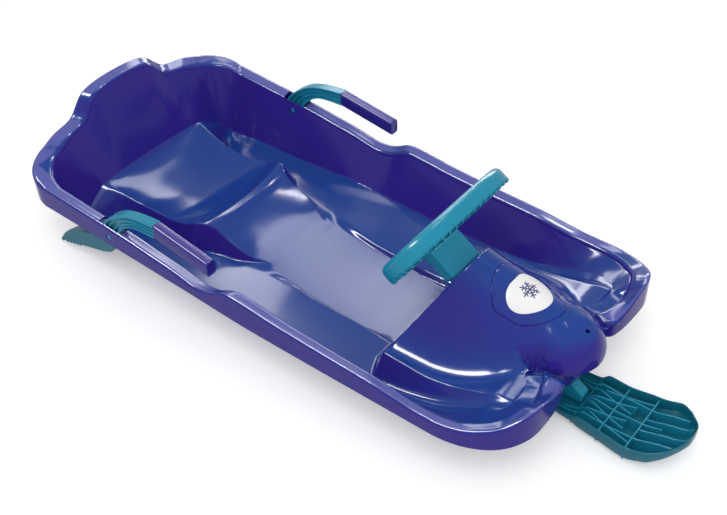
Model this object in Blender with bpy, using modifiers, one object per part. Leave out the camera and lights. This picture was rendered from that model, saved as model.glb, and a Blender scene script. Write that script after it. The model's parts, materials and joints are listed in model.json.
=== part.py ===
"""One-seat steerable snow bob: tub, hand wheel, front ski and two brake levers.

Metres, +Z up, nose towards -Y. The pieces are drawn with the middle of the keels' run near y = 0.2,
and then moved along Y so that the origin is on the ground below the middle of the whole length.
"""

import math

import bmesh
import bpy
import numpy as np
from mathutils import Matrix, Vector

# Clearance between neighbouring pieces
GAP = 0.0003

# Move along Y that brings the middle of the whole length over the origin
CENTRE_SHIFT = -0.004

# Tub shell
SHELL = 0.004
TUB_HALF_WIDTH = 0.255
FRONT_TAPER = 0.011
TUB_FRONT_HALF_WIDTH = TUB_HALF_WIDTH - FRONT_TAPER
TUB_REAR = 0.593
REAR_BOW = 0.021
REAR_CORNER = 0.062
FLANGE = 0.0265
WALL_RUN = 0.0375
LOBE_CENTRE_X = 0.150
LOBE_CENTRE_Y = -0.310
LOBE_LENGTH = 0.128
LOBE_INNER_X = 0.092
NOTCH_X = 0.064
NOTCH_Y = -0.384

# Rim heights
HUMP_HEIGHT = 0.2265
SHOULDER_HEIGHT = 0.180
REAR_RIM_HEIGHT = 0.138
DIP_HEIGHT = 0.1091
BUMP_HEIGHT = 0.1343
FRONT_RIM_HEIGHT = 0.114
LOBE_HEIGHT = 0.153
RIM_ROLL = 0.008
RIM_FALL = 0.005

# Inside of the tub
FLOOR_HEIGHT = 0.010
FLOOR_HALF_WIDTH = 0.079
SEAT_LOW = 0.036
SEAT_LIP = 0.068
SEAT_LIP_Y = 0.283
GUTTER_SLOPE = 0.15
RAMP_HEIGHT = 0.031

# Console and nose
CREST_HALF_WIDTH = 0.153
CREST_END_Y = -0.158
CREST_END_HEIGHT = 0.076
DASH_SLOPE = 1.925
BONNET_HEIGHT = 0.204
BONNET_SLOPE = 0.261
BONNET_REF_Y = -0.250
NOSE_RADIUS = NOTCH_X
NOSE_WIDE_HEIGHT = 0.112

# Distance across the tub at which one row of points follows its ridges
RIDGE_ROW_X = 0.110

# Keels and webs under the tub
KEEL_X = 0.150
KEEL_WIDTH = 0.012
KEEL_FRONT = -0.060
KEEL_REAR = 0.470
WEB_THICKNESS = 0.005
WEB_HALF_WIDTH = 0.056
WEB_DROP = 0.016
UPPER_WEB = 0.045
LOWER_WEB = 0.190

# Steering axis: the point where it leaves the console, and its slope below the horizontal
AXIS_Y = -0.1765
AXIS_Z = 0.178
AXIS_TILT = math.radians(33.0)
SHAFT_DIAMETER = 0.012
SHAFT_TOP = -0.044
SHAFT_END = 0.272
BUSH_WALL = 0.003
BUSH_FLANGE = 0.0025
BUSH_FLANGE_DIAMETER = 0.026
COLLAR_DIAMETER = 0.024
COLLAR_LENGTH = 0.008
PIN_DIAMETER = 0.005

# Hand wheel
WHEEL_WIDTH = 0.266
WHEEL_HEIGHT = 0.145
WHEEL_DROP = 0.0305
WHEEL_DEPTH = 0.032
WHEEL_BAR = 0.024
WHEEL_AT = -0.0423
WHEEL_RISE = WHEEL_HEIGHT / 2 - WHEEL_DROP
WHEEL_WALL = 0.0035
WHEEL_POCKETS = 26
HUB_WIDTH = 0.072
HUB_HEIGHT = 0.034
HUB_DEPTH = 0.024
SLEEVE_WIDTH = 0.072
SLEEVE_THICKNESS = 0.025
SLEEVE_END = 0.0275
WHEEL_SCREW_DIAMETER = 0.006
WHEEL_SCREW_HEAD = 0.012

# Ski and its mount
SKI_REAR = -0.383
SKI_TIP = -0.606
SKI_WALL = 0.003
SKI_RIB = 0.0024
SKI_RIB_DROP = 0.004
MOUNT_WIDTH = 0.020
MOUNT_HALF_HEIGHT = 0.016
MOUNT_START = 0.213
MOUNT_FRONT = -0.4325
MOUNT_FOOT_REAR = -0.385
SKI_SCREW_DIAMETER = 0.005
SKI_SCREW_HEAD = 0.009

# Brakes
BRAKE_OUTWARD = 0.010
BRAKE_X = TUB_HALF_WIDTH - FLANGE + BRAKE_OUTWARD
BRAKE_PIVOT_Y = 0.361
BRAKE_PIVOT_Z = 0.110
ARM_WIDTH = 0.019
BLADE_WIDTH = 0.012
BRAKE_PIN_DIAMETER = 0.010
BRAKE_PIN_INWARD = 0.012
BRAKE_PIN_PROUD = 0.003
BRAKE_PIN_INNER_X = TUB_HALF_WIDTH - FLANGE - BRAKE_PIN_INWARD
BRAKE_PIN_OUTER_X = TUB_HALF_WIDTH + BRAKE_PIN_PROUD
SLOT_FRONT = 0.331
SLOT_REAR = 0.388
SLOT_HALF_WIDTH = 0.0090
GRIP_LENGTH = 0.120
GRIP_REAR = 0.238
GRIP_TOP = 0.195
GRIP_HEIGHT = 0.0275
GRIP_FALL = 0.150
TANG_WIDTH = 0.009
TANG_HEIGHT = 0.016
TANG_LENGTH = 0.086
CLIP_DIAMETER = 0.020
CLIP_THICKNESS = 0.0015

# Hatch and its badge
HATCH_CENTRE_Y = -0.318
HATCH_REAR_Y = -0.2614
HATCH_FRONT_Y = -0.3766
HATCH_HALF_WIDTH = 0.049
BADGE_RADIUS = 0.0352
BADGE_DEPTH = 0.0008


def clear_scene() -> None:
    """Remove every object of the starting scene."""
    for item in list(bpy.data.objects):
        bpy.data.objects.remove(item, do_unlink=True)


def make_collection(name: str) -> bpy.types.Collection:
    """Return a new collection that hangs in the scene."""
    made = bpy.data.collections.new(name)
    bpy.context.scene.collection.children.link(made)
    return made


def make_material(name: str, colour: tuple, roughness: float, metallic: float = 0.0) -> bpy.types.Material:
    """Return a Principled material with one colour."""
    made = bpy.data.materials.new(name)
    made.use_nodes = True
    shader = made.node_tree.nodes["Principled BSDF"]
    shader.inputs["Base Color"].default_value = (*colour, 1.0)
    shader.inputs["Roughness"].default_value = roughness
    shader.inputs["Metallic"].default_value = metallic
    made.diffuse_color = (*colour, 1.0)
    return made


clear_scene()
PARTS = make_collection("snow_bob")
CUTTERS = make_collection("cutters")
INDIGO = make_material("indigo_plastic", (0.030, 0.025, 0.240), 0.18)
GRIP_BLUE = make_material("grip_plastic", (0.035, 0.022, 0.260), 0.30)
TEAL = make_material("teal_plastic", (0.020, 0.270, 0.400), 0.32)
WHITE = make_material("badge_film", (0.900, 0.900, 0.900), 0.25)
BUSH = make_material("bush_plastic", (0.700, 0.700, 0.680), 0.45)
STEEL = make_material("zinc_steel", (0.600, 0.610, 0.620), 0.35, 1.0)


def add_object(name: str, mesh: bpy.types.Mesh, material=None, cutter: bool = False) -> bpy.types.Object:
    """Link a mesh as a named part, or as a cutter that isn't part of the model."""
    made = bpy.data.objects.new(name, mesh)
    if cutter:
        made.hide_render = True
        made.display_type = "WIRE"
        CUTTERS.objects.link(made)
    else:
        made.data.materials.append(material)
        PARTS.objects.link(made)
    return made


def mesh_of(name: str, points, faces) -> bpy.types.Mesh:
    """Return a mesh with its faces turned outward."""
    mesh = bpy.data.meshes.new(name)
    mesh.from_pydata([tuple(map(float, p)) for p in points], [], [tuple(map(int, f)) for f in faces])
    work = bmesh.new()
    work.from_mesh(mesh)
    bmesh.ops.recalc_face_normals(work, faces=work.faces)
    work.to_mesh(mesh)
    work.free()
    return mesh


def loft(name: str, sections, material=None, cutter: bool = False) -> bpy.types.Object:
    """Join equal sections into one solid whose two ends are closed."""
    count = len(sections[0])
    points = [p for section in sections for p in section]
    faces = []
    for row in range(len(sections) - 1):
        for col in range(count):
            a = row * count + col
            b = row * count + (col + 1) % count
            faces.append((a, b, b + count, a + count))
    faces.append(tuple(range(count)))
    faces.append(tuple(range(len(points) - count, len(points))))
    return add_object(name, mesh_of(name, points, faces), material, cutter)


def cut(body: bpy.types.Object, tool: bpy.types.Object, operation: str = "DIFFERENCE") -> None:
    """Add an exact Boolean to a body."""
    step = body.modifiers.new(tool.name, "BOOLEAN")
    step.operation = operation
    step.object = tool
    step.solver = "EXACT"


def bevel(body: bpy.types.Object, width: float, segments: int = 2, angle: float = 40.0) -> None:
    """Round the sharp edges of a body."""
    step = body.modifiers.new("round", "BEVEL")
    step.width = width
    step.segments = segments
    step.limit_method = "ANGLE"
    step.angle_limit = math.radians(angle)


def box(name: str, size, centre, material=None, cutter: bool = False, turn=None) -> bpy.types.Object:
    """Return a box of the given size round a centre."""
    work = bmesh.new()
    bmesh.ops.create_cube(work, size=1.0, matrix=Matrix.Diagonal((*size, 1.0)))
    mesh = bpy.data.meshes.new(name)
    work.to_mesh(mesh)
    work.free()
    made = add_object(name, mesh, material, cutter)
    made.matrix_world = Matrix.Translation(Vector(centre)) @ (turn or Matrix.Identity(4))
    return made


def cylinder(name: str, diameter: float, length: float, place: Matrix, material=None,
             cutter: bool = False, segments: int = 24) -> bpy.types.Object:
    """Return a cylinder along the local Z of its place, standing on the local origin."""
    work = bmesh.new()
    bmesh.ops.create_cone(work, cap_ends=True, segments=segments, radius1=diameter / 2,
                          radius2=diameter / 2, depth=length,
                          matrix=Matrix.Translation((0, 0, length / 2)))
    mesh = bpy.data.meshes.new(name)
    work.to_mesh(mesh)
    work.free()
    mesh.shade_smooth()
    mesh.set_sharp_from_angle(angle=math.radians(40))
    made = add_object(name, mesh, material, cutter)
    made.matrix_world = place
    return made


def turned(name: str, profile, place: Matrix, material=None, segments: int = 24) -> bpy.types.Object:
    """Return a ring-like solid: a closed (radius, height) profile turned round the local Z."""
    points = []
    for step in range(segments):
        angle = 2 * math.pi * step / segments
        for radius, height in profile:
            points.append((radius * math.cos(angle), radius * math.sin(angle), height))
    count = len(profile)
    faces = []
    for step in range(segments):
        after = (step + 1) % segments
        for k in range(count):
            n = (k + 1) % count
            faces.append((step * count + k, step * count + n, after * count + n, after * count + k))
    mesh = mesh_of(name, points, faces)
    mesh.shade_smooth()
    mesh.set_sharp_from_angle(angle=math.radians(40))
    made = add_object(name, mesh, material)
    made.matrix_world = place
    return made


def side_plate(name: str, outline, centre_x: float, width: float, material=None,
               cutter: bool = False) -> bpy.types.Object:
    """Return a plate with an outline in Y and Z and its thickness along X."""
    sections = [[(x, y, z) for y, z in outline] for x in (centre_x - width / 2, centre_x + width / 2)]
    return loft(name, sections, material, cutter)


def smooth_curve(keys, at):
    """Return values of a curve through the keys that never overshoots between them."""
    keys = np.asarray(sorted(keys), dtype=float)
    x, y = keys[:, 0], keys[:, 1]
    run = np.diff(x)
    rate = np.diff(y) / run
    slope = np.empty_like(y)
    slope[0], slope[-1] = rate[0], rate[-1]
    both = rate[:-1] * rate[1:] > 0
    safe = np.where(both, rate[:-1] + rate[1:], 1.0)
    slope[1:-1] = np.where(both, 2 * rate[:-1] * rate[1:] / safe, 0.0)
    at = np.clip(np.asarray(at, dtype=float), x[0], x[-1])
    k = np.clip(np.searchsorted(x, at, side="right") - 1, 0, len(run) - 1)
    t = (at - x[k]) / run[k]
    rise = y[k + 1] - y[k]
    start, stop = slope[k] * run[k], slope[k + 1] * run[k]
    return y[k] + t * start + t**2 * (3 * rise - 2 * start - stop) + t**3 * (start + stop - 2 * rise)


def smooth_max(a, b, soft: float):
    """Return the larger of two surfaces, with a fillet of the given height between them."""
    share = np.clip(0.5 + 0.5 * (a - b) / soft, 0.0, 1.0)
    return b * (1 - share) + a * share + soft * share * (1 - share)


def smooth_min(a, b, soft: float):
    """Return the smaller of two surfaces, with a round edge between them."""
    return -smooth_max(-a, -b, soft)


# The tub's top surface as a height over the ground plan

def base_height(x, y):
    """Return the floor, the riser beside it and the gutter that rises to the wall foot."""
    foot = smooth_curve(((-0.44, 0.118), (-0.387, 0.111), (-0.36, 0.102), (-0.33, 0.086), (-0.27, 0.060),
                         (-0.20, 0.045), (-0.125, 0.037), (-0.007, 0.034), (0.165, 0.039), (0.319, 0.031),
                         (0.428, 0.028), (0.486, 0.021), (0.60, 0.020)), y)
    slope = smooth_curve(((-0.05, GUTTER_SLOPE), (0.047, 0.14), (0.09, 0.11), (0.13, 0.10), (0.20, 0.10),
                          (0.30, 0.04)), y)
    gutter = foot - slope * (TUB_HALF_WIDTH - FLANGE - WALL_RUN - 0.001 - np.abs(x))
    floor = smooth_curve(((-0.10, FLOOR_HEIGHT + 0.002), (-0.05, FLOOR_HEIGHT), (0.0, FLOOR_HEIGHT + 0.0005),
                          (0.047, FLOOR_HEIGHT + 0.0042), (0.09, 0.020), (0.13, 0.0262),
                          (0.162, RAMP_HEIGHT), (0.30, RAMP_HEIGHT - 0.002)), y)
    ledge = smooth_curve(((-0.10, 0.086), (0.047, 0.088), (0.13, 0.097), (0.16, 0.106), (0.20, 0.125)), y)
    share = np.clip((np.abs(x) - FLOOR_HALF_WIDTH) / (ledge - FLOOR_HALF_WIDTH), 0.0, 1.0)
    share = share * share * (3 - 2 * share)
    return floor + (gutter - floor) * share


def seat_height(x, y):
    """Return the dished seat, its raised side edges and the slope in front of its lip."""
    middle = smooth_curve(((0.10, -0.02), (0.13, 0.012), (0.162, RAMP_HEIGHT), (0.215, 0.043), (0.262, 0.058),
                           (SEAT_LIP_Y, SEAT_LIP), (0.33, 0.048), (0.38, SEAT_LOW + 0.001),
                           (0.42, SEAT_LOW), (0.47, 0.042), (0.52, 0.060), (0.555, 0.100), (0.61, 0.220)), y)
    edge = smooth_curve(((0.10, -0.02), (0.13, 0.012), (0.162, RAMP_HEIGHT), (0.189, 0.039), (0.215, 0.050),
                         (0.243, 0.060), (0.262, 0.070), (0.286, 0.082), (0.30, 0.079), (0.33, 0.064),
                         (0.379, 0.053), (0.436, 0.053), (0.491, 0.061), (0.520, 0.067), (0.537, 0.072),
                         (0.61, 0.190)), y)
    half = smooth_curve(((0.10, 0.070), (0.162, 0.077), (0.189, 0.087), (0.215, 0.093), (0.243, 0.0935),
                         (0.262, 0.0945), (0.270, 0.097), (0.279, 0.103), (0.288, 0.109), (0.30, 0.1125),
                         (0.33, 0.114), (0.379, 0.112), (0.436, 0.114), (0.491, 0.120), (0.537, 0.129),
                         (0.61, 0.140)), y)
    across = np.abs(x) / half
    inside = middle + (edge - middle) * np.minimum(across, 1.0) ** 2.5
    steep = smooth_curve(((0.44, 2.0), (0.52, 0.6)), y)
    return smooth_min(inside, edge - steep * (np.abs(x) - half), 0.004)


def nose_height(x, y):
    """Return the half-round bonnet that ends in the blunt nose."""
    top = BONNET_HEIGHT + BONNET_SLOPE * (y - BONNET_REF_Y)
    ahead = np.maximum(NOTCH_Y - y, 0.0)
    reach = np.hypot(x, ahead)
    front = (ahead / np.maximum(reach, 1e-9)) ** 2
    depth = NOSE_RADIUS * (1 - front) + 0.022 * front
    side = np.clip(1 - (NOSE_RADIUS - reach) / depth, 0.0, 1.0)
    rise = (1 - side**2) ** 0.55
    beyond = np.maximum(reach - NOSE_RADIUS, 0.0)
    return NOSE_WIDE_HEIGHT + (top - NOSE_WIDE_HEIGHT) * rise - 2.0 * beyond


def console_height(x, y):
    """Return the dashboard face, the bonnet with its shoulders, and the console's side faces.

    Across the bonnet the height falls from its top to the platform's edge height as half a cosine
    wave over the bell's reach. Towards the notch this eases over to the nose.
    """
    top = BONNET_HEIGHT + BONNET_SLOPE * (y - BONNET_REF_Y)
    dash = CREST_END_HEIGHT + DASH_SLOPE * (CREST_END_Y - y)
    edge = smooth_curve(((-0.44, 0.124), (-0.375, 0.115), (-0.334, 0.100), (-0.272, 0.081),
                         (-0.233, CREST_END_HEIGHT), (-0.158, CREST_END_HEIGHT)), y)
    half = smooth_curve(((-0.44, 0.120), (-0.375, 0.140), (-0.334, 0.146), (-0.272, 0.152),
                         (-0.233, CREST_HALF_WIDTH + 0.001), (CREST_END_Y, CREST_HALF_WIDTH),
                         (-0.085, 0.086)), y)
    reach = smooth_curve(((-0.44, 0.075), (-0.384, 0.085), (-0.365, 0.098), (-0.34, 0.120),
                          (-0.31, 0.140), (-0.27, 0.150), (-0.228, CREST_HALF_WIDTH)), y)
    bell = 0.5 + 0.5 * np.cos(np.pi * np.clip(np.abs(x) / reach, 0.0, 1.0))
    shoulder = edge + (top - edge) * bell
    platform = edge - 0.004 - 2.0 * np.maximum(NOTCH_Y - y, 0.0)
    front = smooth_max(nose_height(x, y), platform, 0.004)
    ease = np.clip((NOTCH_Y + 0.034 - y) / 0.034, 0.0, 1.0)
    bonnet = shoulder + (front - shoulder) * ease * ease * (3 - 2 * ease)
    flank = np.minimum(edge, dash) + 2.4 * (half - np.abs(x))
    return smooth_min(smooth_min(bonnet, dash, 0.006), flank, 0.004)


def tub_height(x, y):
    """Return the height of the tub's upper surface inside its rim."""
    x, y = np.asarray(x, dtype=float), np.asarray(y, dtype=float)
    soft = smooth_curve(((0.30, 0.004), (0.44, 0.008), (0.52, 0.014)), y)
    tub = smooth_max(base_height(x, y), seat_height(x, y), soft)
    return smooth_max(tub, console_height(x, y), 0.010)


def follow_ridges(x, y, foot_x: float):
    """Return x moved so that rows of points run along the tub's ridges.

    Rows at a set x are moved out or in to the ridge at their y, and the rows on either side are
    spread evenly up to the middle plane and up to the wall foot.
    """
    ridge = smooth_curve(((-0.44, 0.120), (-0.375, 0.140), (-0.334, 0.146), (-0.272, 0.152), (-0.233, 0.154),
                          (-0.158, 0.153), (-0.085, 0.086), (-0.06, 0.079), (0.162, 0.079), (0.189, 0.087),
                          (0.215, 0.093), (0.262, 0.0945), (0.279, 0.103), (0.30, 0.1125), (0.379, 0.112),
                          (0.436, 0.114), (0.491, 0.120), (0.537, 0.129)), y)
    share = smooth_curve(((-0.385, 0.0), (-0.34, 1.0), (0.46, 1.0), (0.51, 0.0)), y)
    ridge = RIDGE_ROW_X + (ridge - RIDGE_ROW_X) * share
    curl = np.clip((-0.290 - y) / 0.097, 0.0, 1.0)
    wall = np.where(y < -0.290, 0.140 + (foot_x - 0.140) * np.sqrt(1 - curl * curl), foot_x)
    inner = x * ridge / RIDGE_ROW_X
    outer = ridge + (x - RIDGE_ROW_X) * (wall - ridge) / np.maximum(wall - RIDGE_ROW_X, 1e-6)
    return np.where(x < RIDGE_ROW_X, inner, np.where(x < wall, outer, x))


# Rings round the tub. A station runs 0-1 along the rear, 1-2 round the rear corner, 2-3 along the
# side, 3-4 round the lobe, 4-5 across its front, 5-6 into the notch and 6-7 round the nose.

SIDE_PLANES = (0.500, 0.450, 0.400, 0.345, 0.287, 0.265, 0.215, 0.187, 0.162, 0.145, 0.131, 0.114,
               0.098, 0.078, 0.045, 0.000, -0.050, -0.085, -0.120, -0.158, -0.190, -0.235, -0.290)
SIDE_SPAN = SIDE_PLANES[0] - SIDE_PLANES[-1]
STATIONS = np.concatenate((
    (0.0, 0.13, 0.25, 0.34, 0.41, 0.47, 0.53, 0.60, 0.70, 0.85),
    np.linspace(1, 2, 6)[:-1],
    2 + (SIDE_PLANES[0] - np.array(SIDE_PLANES)) / SIDE_SPAN,
    np.linspace(3, 4, 7)[1:],
    np.linspace(4, 5, 3)[1:],
    np.linspace(5, 6, 4)[1:],
    np.linspace(6, 7, 7)[1:],
))


def plan_ring(side_rear, side_front, rear, bow, corner, corner_y, lobe, notch, nose_radius):
    """Return one half ring of plan points, one for each station.

    Args:
        side_rear: half width at the rear.
        side_front: half width at the front.
        rear: y of the rear edge at the start of the corner.
        bow: how much further back the rear edge is at x = 0.
        corner: radius of the rear corner.
        corner_y: y of the corner's centre.
        lobe: (centre x, centre y, length) of the front corner.
        notch: plan points at stations 5, 5.33, 5.67 and 6.
        nose_radius: radius of the ring round the nose.
    """
    corner_x = side_rear - corner
    rows = []
    for s in STATIONS:
        if s < 1:
            rows.append((corner_x * s, rear + bow * (1 - s * s)))
        elif s < 2:
            angle = (s - 1) * math.pi / 2
            rows.append((corner_x + corner * math.sin(angle), corner_y + (rear - corner_y) * math.cos(angle)))
        elif s <= 3:
            share = s - 2
            rows.append((side_rear + (side_front - side_rear) * share, corner_y + (lobe[1] - corner_y) * share))
        elif s <= 4:
            angle = (s - 3) * math.pi / 2
            rows.append((lobe[0] + (side_front - lobe[0]) * math.cos(angle), lobe[1] - lobe[2] * math.sin(angle)))
        elif s <= 5:
            share = s - 4
            front = lobe[1] - lobe[2]
            rows.append((lobe[0] + (notch[0][0] - lobe[0]) * share, front + (notch[0][1] - front) * share**2))
        elif s <= 6:
            k = round((s - 5) * 3)
            rows.append(notch[k])
        else:
            angle = (s - 6) * math.pi / 2
            rows.append((nose_radius * math.cos(angle), NOTCH_Y - nose_radius * math.sin(angle)))
    return np.array(rows)


OUTER = plan_ring(TUB_HALF_WIDTH, TUB_FRONT_HALF_WIDTH, TUB_REAR, REAR_BOW, REAR_CORNER,
                  TUB_REAR - REAR_CORNER, (LOBE_CENTRE_X, LOBE_CENTRE_Y, LOBE_LENGTH),
                  ((LOBE_INNER_X, -0.433), (0.075, -0.428), (0.066, -0.414), (NOTCH_X, NOTCH_Y)),
                  NOSE_RADIUS)
INNER = plan_ring(TUB_HALF_WIDTH - FLANGE, TUB_FRONT_HALF_WIDTH - FLANGE + 0.006, TUB_REAR - FLANGE,
                  REAR_BOW, REAR_CORNER, TUB_REAR - FLANGE - REAR_CORNER,
                  (LOBE_CENTRE_X - 0.005, LOBE_CENTRE_Y + 0.010, LOBE_LENGTH - 0.018),
                  ((LOBE_INNER_X + 0.010, -0.405), (0.0865, -0.400), (0.0755, -0.391), (0.068, -0.375)),
                  NOSE_RADIUS - 0.007)
FOOT_X = TUB_HALF_WIDTH - FLANGE - WALL_RUN - 0.001
FOOT = plan_ring(FOOT_X, FOOT_X, TUB_REAR - FLANGE - WALL_RUN, 0.005, 0.030, SIDE_PLANES[0],
                 (LOBE_CENTRE_X - 0.010, SIDE_PLANES[-1], LOBE_LENGTH - 0.031),
                 ((LOBE_INNER_X + 0.016, -0.385), (0.094, -0.378), (0.083, -0.372), (0.0725, -0.366)),
                 NOSE_RADIUS - 0.021)

RIM = smooth_curve(((0, HUMP_HEIGHT), (0.25, HUMP_HEIGHT - 0.002), (0.337, HUMP_HEIGHT - 0.0045),
                    (0.409, HUMP_HEIGHT - 0.0095), (0.456, HUMP_HEIGHT - 0.016), (0.525, SHOULDER_HEIGHT + 0.017),
                    (0.566, SHOULDER_HEIGHT + 0.0093), (0.622, SHOULDER_HEIGHT + 0.0035), (0.743, SHOULDER_HEIGHT),
                    (0.912, SHOULDER_HEIGHT - 0.0043), (1, SHOULDER_HEIGHT - 0.0092), (2, 0.143),
                    (2.10, REAR_RIM_HEIGHT), (2.233, 0.131), (2.352, 0.1205), (2.410, DIP_HEIGHT + 0.0033),
                    (2.439, DIP_HEIGHT), (2.467, DIP_HEIGHT + 0.0025), (2.4955, DIP_HEIGHT + 0.0109),
                    (2.523, BUMP_HEIGHT - 0.0024), (2.537, BUMP_HEIGHT), (2.604, BUMP_HEIGHT - 0.0038),
                    (2.77, 0.123), (2.861, 0.121), (2.977, FRONT_RIM_HEIGHT), (3.25, 0.119),
                    (3.53, 0.132), (3.89, LOBE_HEIGHT), (4.1, LOBE_HEIGHT - 0.003), (5, 0.125),
                    (5.33, 0.119), (5.67, 0.117), (6, 0.118), (6.2, NOSE_WIDE_HEIGHT), (7, NOSE_WIDE_HEIGHT)),
                   STATIONS)
RIM_INSIDE = RIM - smooth_curve(((0, RIM_FALL), (3.3, RIM_FALL + 0.001), (3.53, 0.010), (3.89, 0.019),
                                 (4.1, 0.026), (5, 0.005), (5.4, -0.003), (6, -0.008), (7, 0)), STATIONS)
SKIRT = smooth_curve(((0, 0.150), (1, 0.108), (2, 0.098), (2.4, 0.087), (2.6, 0.080), (3, 0.084),
                      (3.5, 0.088), (4, 0.097), (5, 0.092), (6, 0.090), (6.15, 0.080), (7, 0.057)), STATIONS)
SPINE = smooth_curve(((0, 0.515), (1, 0.470), (2, 0.430), (2.127, 0.375), (2.27, 0.287), (2.671, -0.030),
                      (2.76, -0.140), (2.833, -0.228), (2.911, -0.246), (3, -0.262), (4, -0.278),
                      (5, -0.292), (6, -0.325), (7, -0.405)), STATIONS)

# How far across the tub each inner ring is, from the wall foot to the middle plane
INNER_RINGS = (0.07, 0.15, 0.24, 0.33, 0.385, 0.421, 0.46, 0.52, 0.60, 0.70, 0.80, 0.90, 1.0)


def tub_grid():
    """Return the rows of points of one half of the tub's outer surface, from skirt to spine."""
    on_nose = (STATIONS > 6.0)
    turn = np.clip(STATIONS - 6, 0, 1) * math.pi / 2
    tuck = np.where(on_nose, 0.003 + 0.026 * np.sin(turn) ** 2, 0.0)
    radial = np.stack((np.cos(turn), -np.sin(turn)), axis=1)
    rows = []

    def add(plan, height):
        """Add one row of points."""
        rows.append(np.column_stack((plan, height)))

    add(OUTER - radial * tuck[:, None], SKIRT)
    add(OUTER - radial * (tuck * 0.42)[:, None], SKIRT + (RIM - SKIRT) * 0.5)
    add(OUTER, RIM - np.where(on_nose, 0.003, RIM_ROLL))
    for share, fall in ((0.10, 0.30), (0.30, 0.0), (0.90, 0.0)):
        plan = OUTER + (INNER - OUTER) * share
        height = RIM + (RIM_INSIDE - RIM) * share - RIM_ROLL * fall
        add(plan, np.where(on_nose, nose_height(plan[:, 0], plan[:, 1]), height))
    foot_height = tub_height(FOOT[:, 0], FOOT[:, 1])
    for share in (0.06, 0.40, 0.80):
        plan = INNER + (FOOT - INNER) * share
        height = RIM_INSIDE - 0.002 + (foot_height - RIM_INSIDE + 0.002) * share
        add(plan, np.where(on_nose, nose_height(plan[:, 0], plan[:, 1]), height))
    add(FOOT, foot_height)
    for share in INNER_RINGS:
        x = FOOT[:, 0] * (1 - share)
        late = 0.195 * FOOT[:, 0] / FOOT[:, 0].max() * np.clip(4 - STATIONS, 0.0, 1.0)
        along = np.clip((share - late) / (1 - late), 0.0, 1.0)
        y = FOOT[:, 1] + (SPINE - FOOT[:, 1]) * along
        x = follow_ridges(x, y, FOOT_X)
        add(np.column_stack((x, y)), tub_height(x, y))
    for row in rows:
        row[0, 0] = 0.0
        row[-1, 0] = 0.0
    return rows


def axis_point(along: float, rise: float = 0.0, x: float = 0.0) -> Vector:
    """Return a point given along the steering axis (downward), above it, and across it."""
    c, s = math.cos(AXIS_TILT), math.sin(AXIS_TILT)
    return Vector((x, AXIS_Y - c * along - s * rise, AXIS_Z - s * along + c * rise))


def axis_frame(along: float) -> Matrix:
    """Return the place on the steering axis whose local Z points down the shaft and Y up from it."""
    c, s = math.cos(AXIS_TILT), math.sin(AXIS_TILT)
    place = Matrix(((1, 0, 0, 0), (0, -s, -c, 0), (0, c, -s, 0), (0, 0, 0, 1)))
    place.translation = axis_point(along)
    return place


def side_frame(x: float, y: float, z: float) -> Matrix:
    """Return a place whose local Z points along +X."""
    place = Matrix.Rotation(math.pi / 2, 4, "Y")
    place.translation = (x, y, z)
    return place


def curtain(name: str, line, thickness: float, low, high, material=None, cutter: bool = False):
    """Return an upright wall along a straight plan line, with a low and a high edge given by height."""
    line = np.asarray(line, dtype=float)
    direction = line[-1] - line[0]
    side = np.array((-direction[1], direction[0])) / np.hypot(*direction) * thickness / 2
    sections = []
    for p in line:
        a, b = p - side, p + side
        sections.append(((*a, low(*a)), (*b, low(*b)), (*b, high(*b)), (*a, high(*a))))
    return loft(name, sections, material, cutter)


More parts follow.
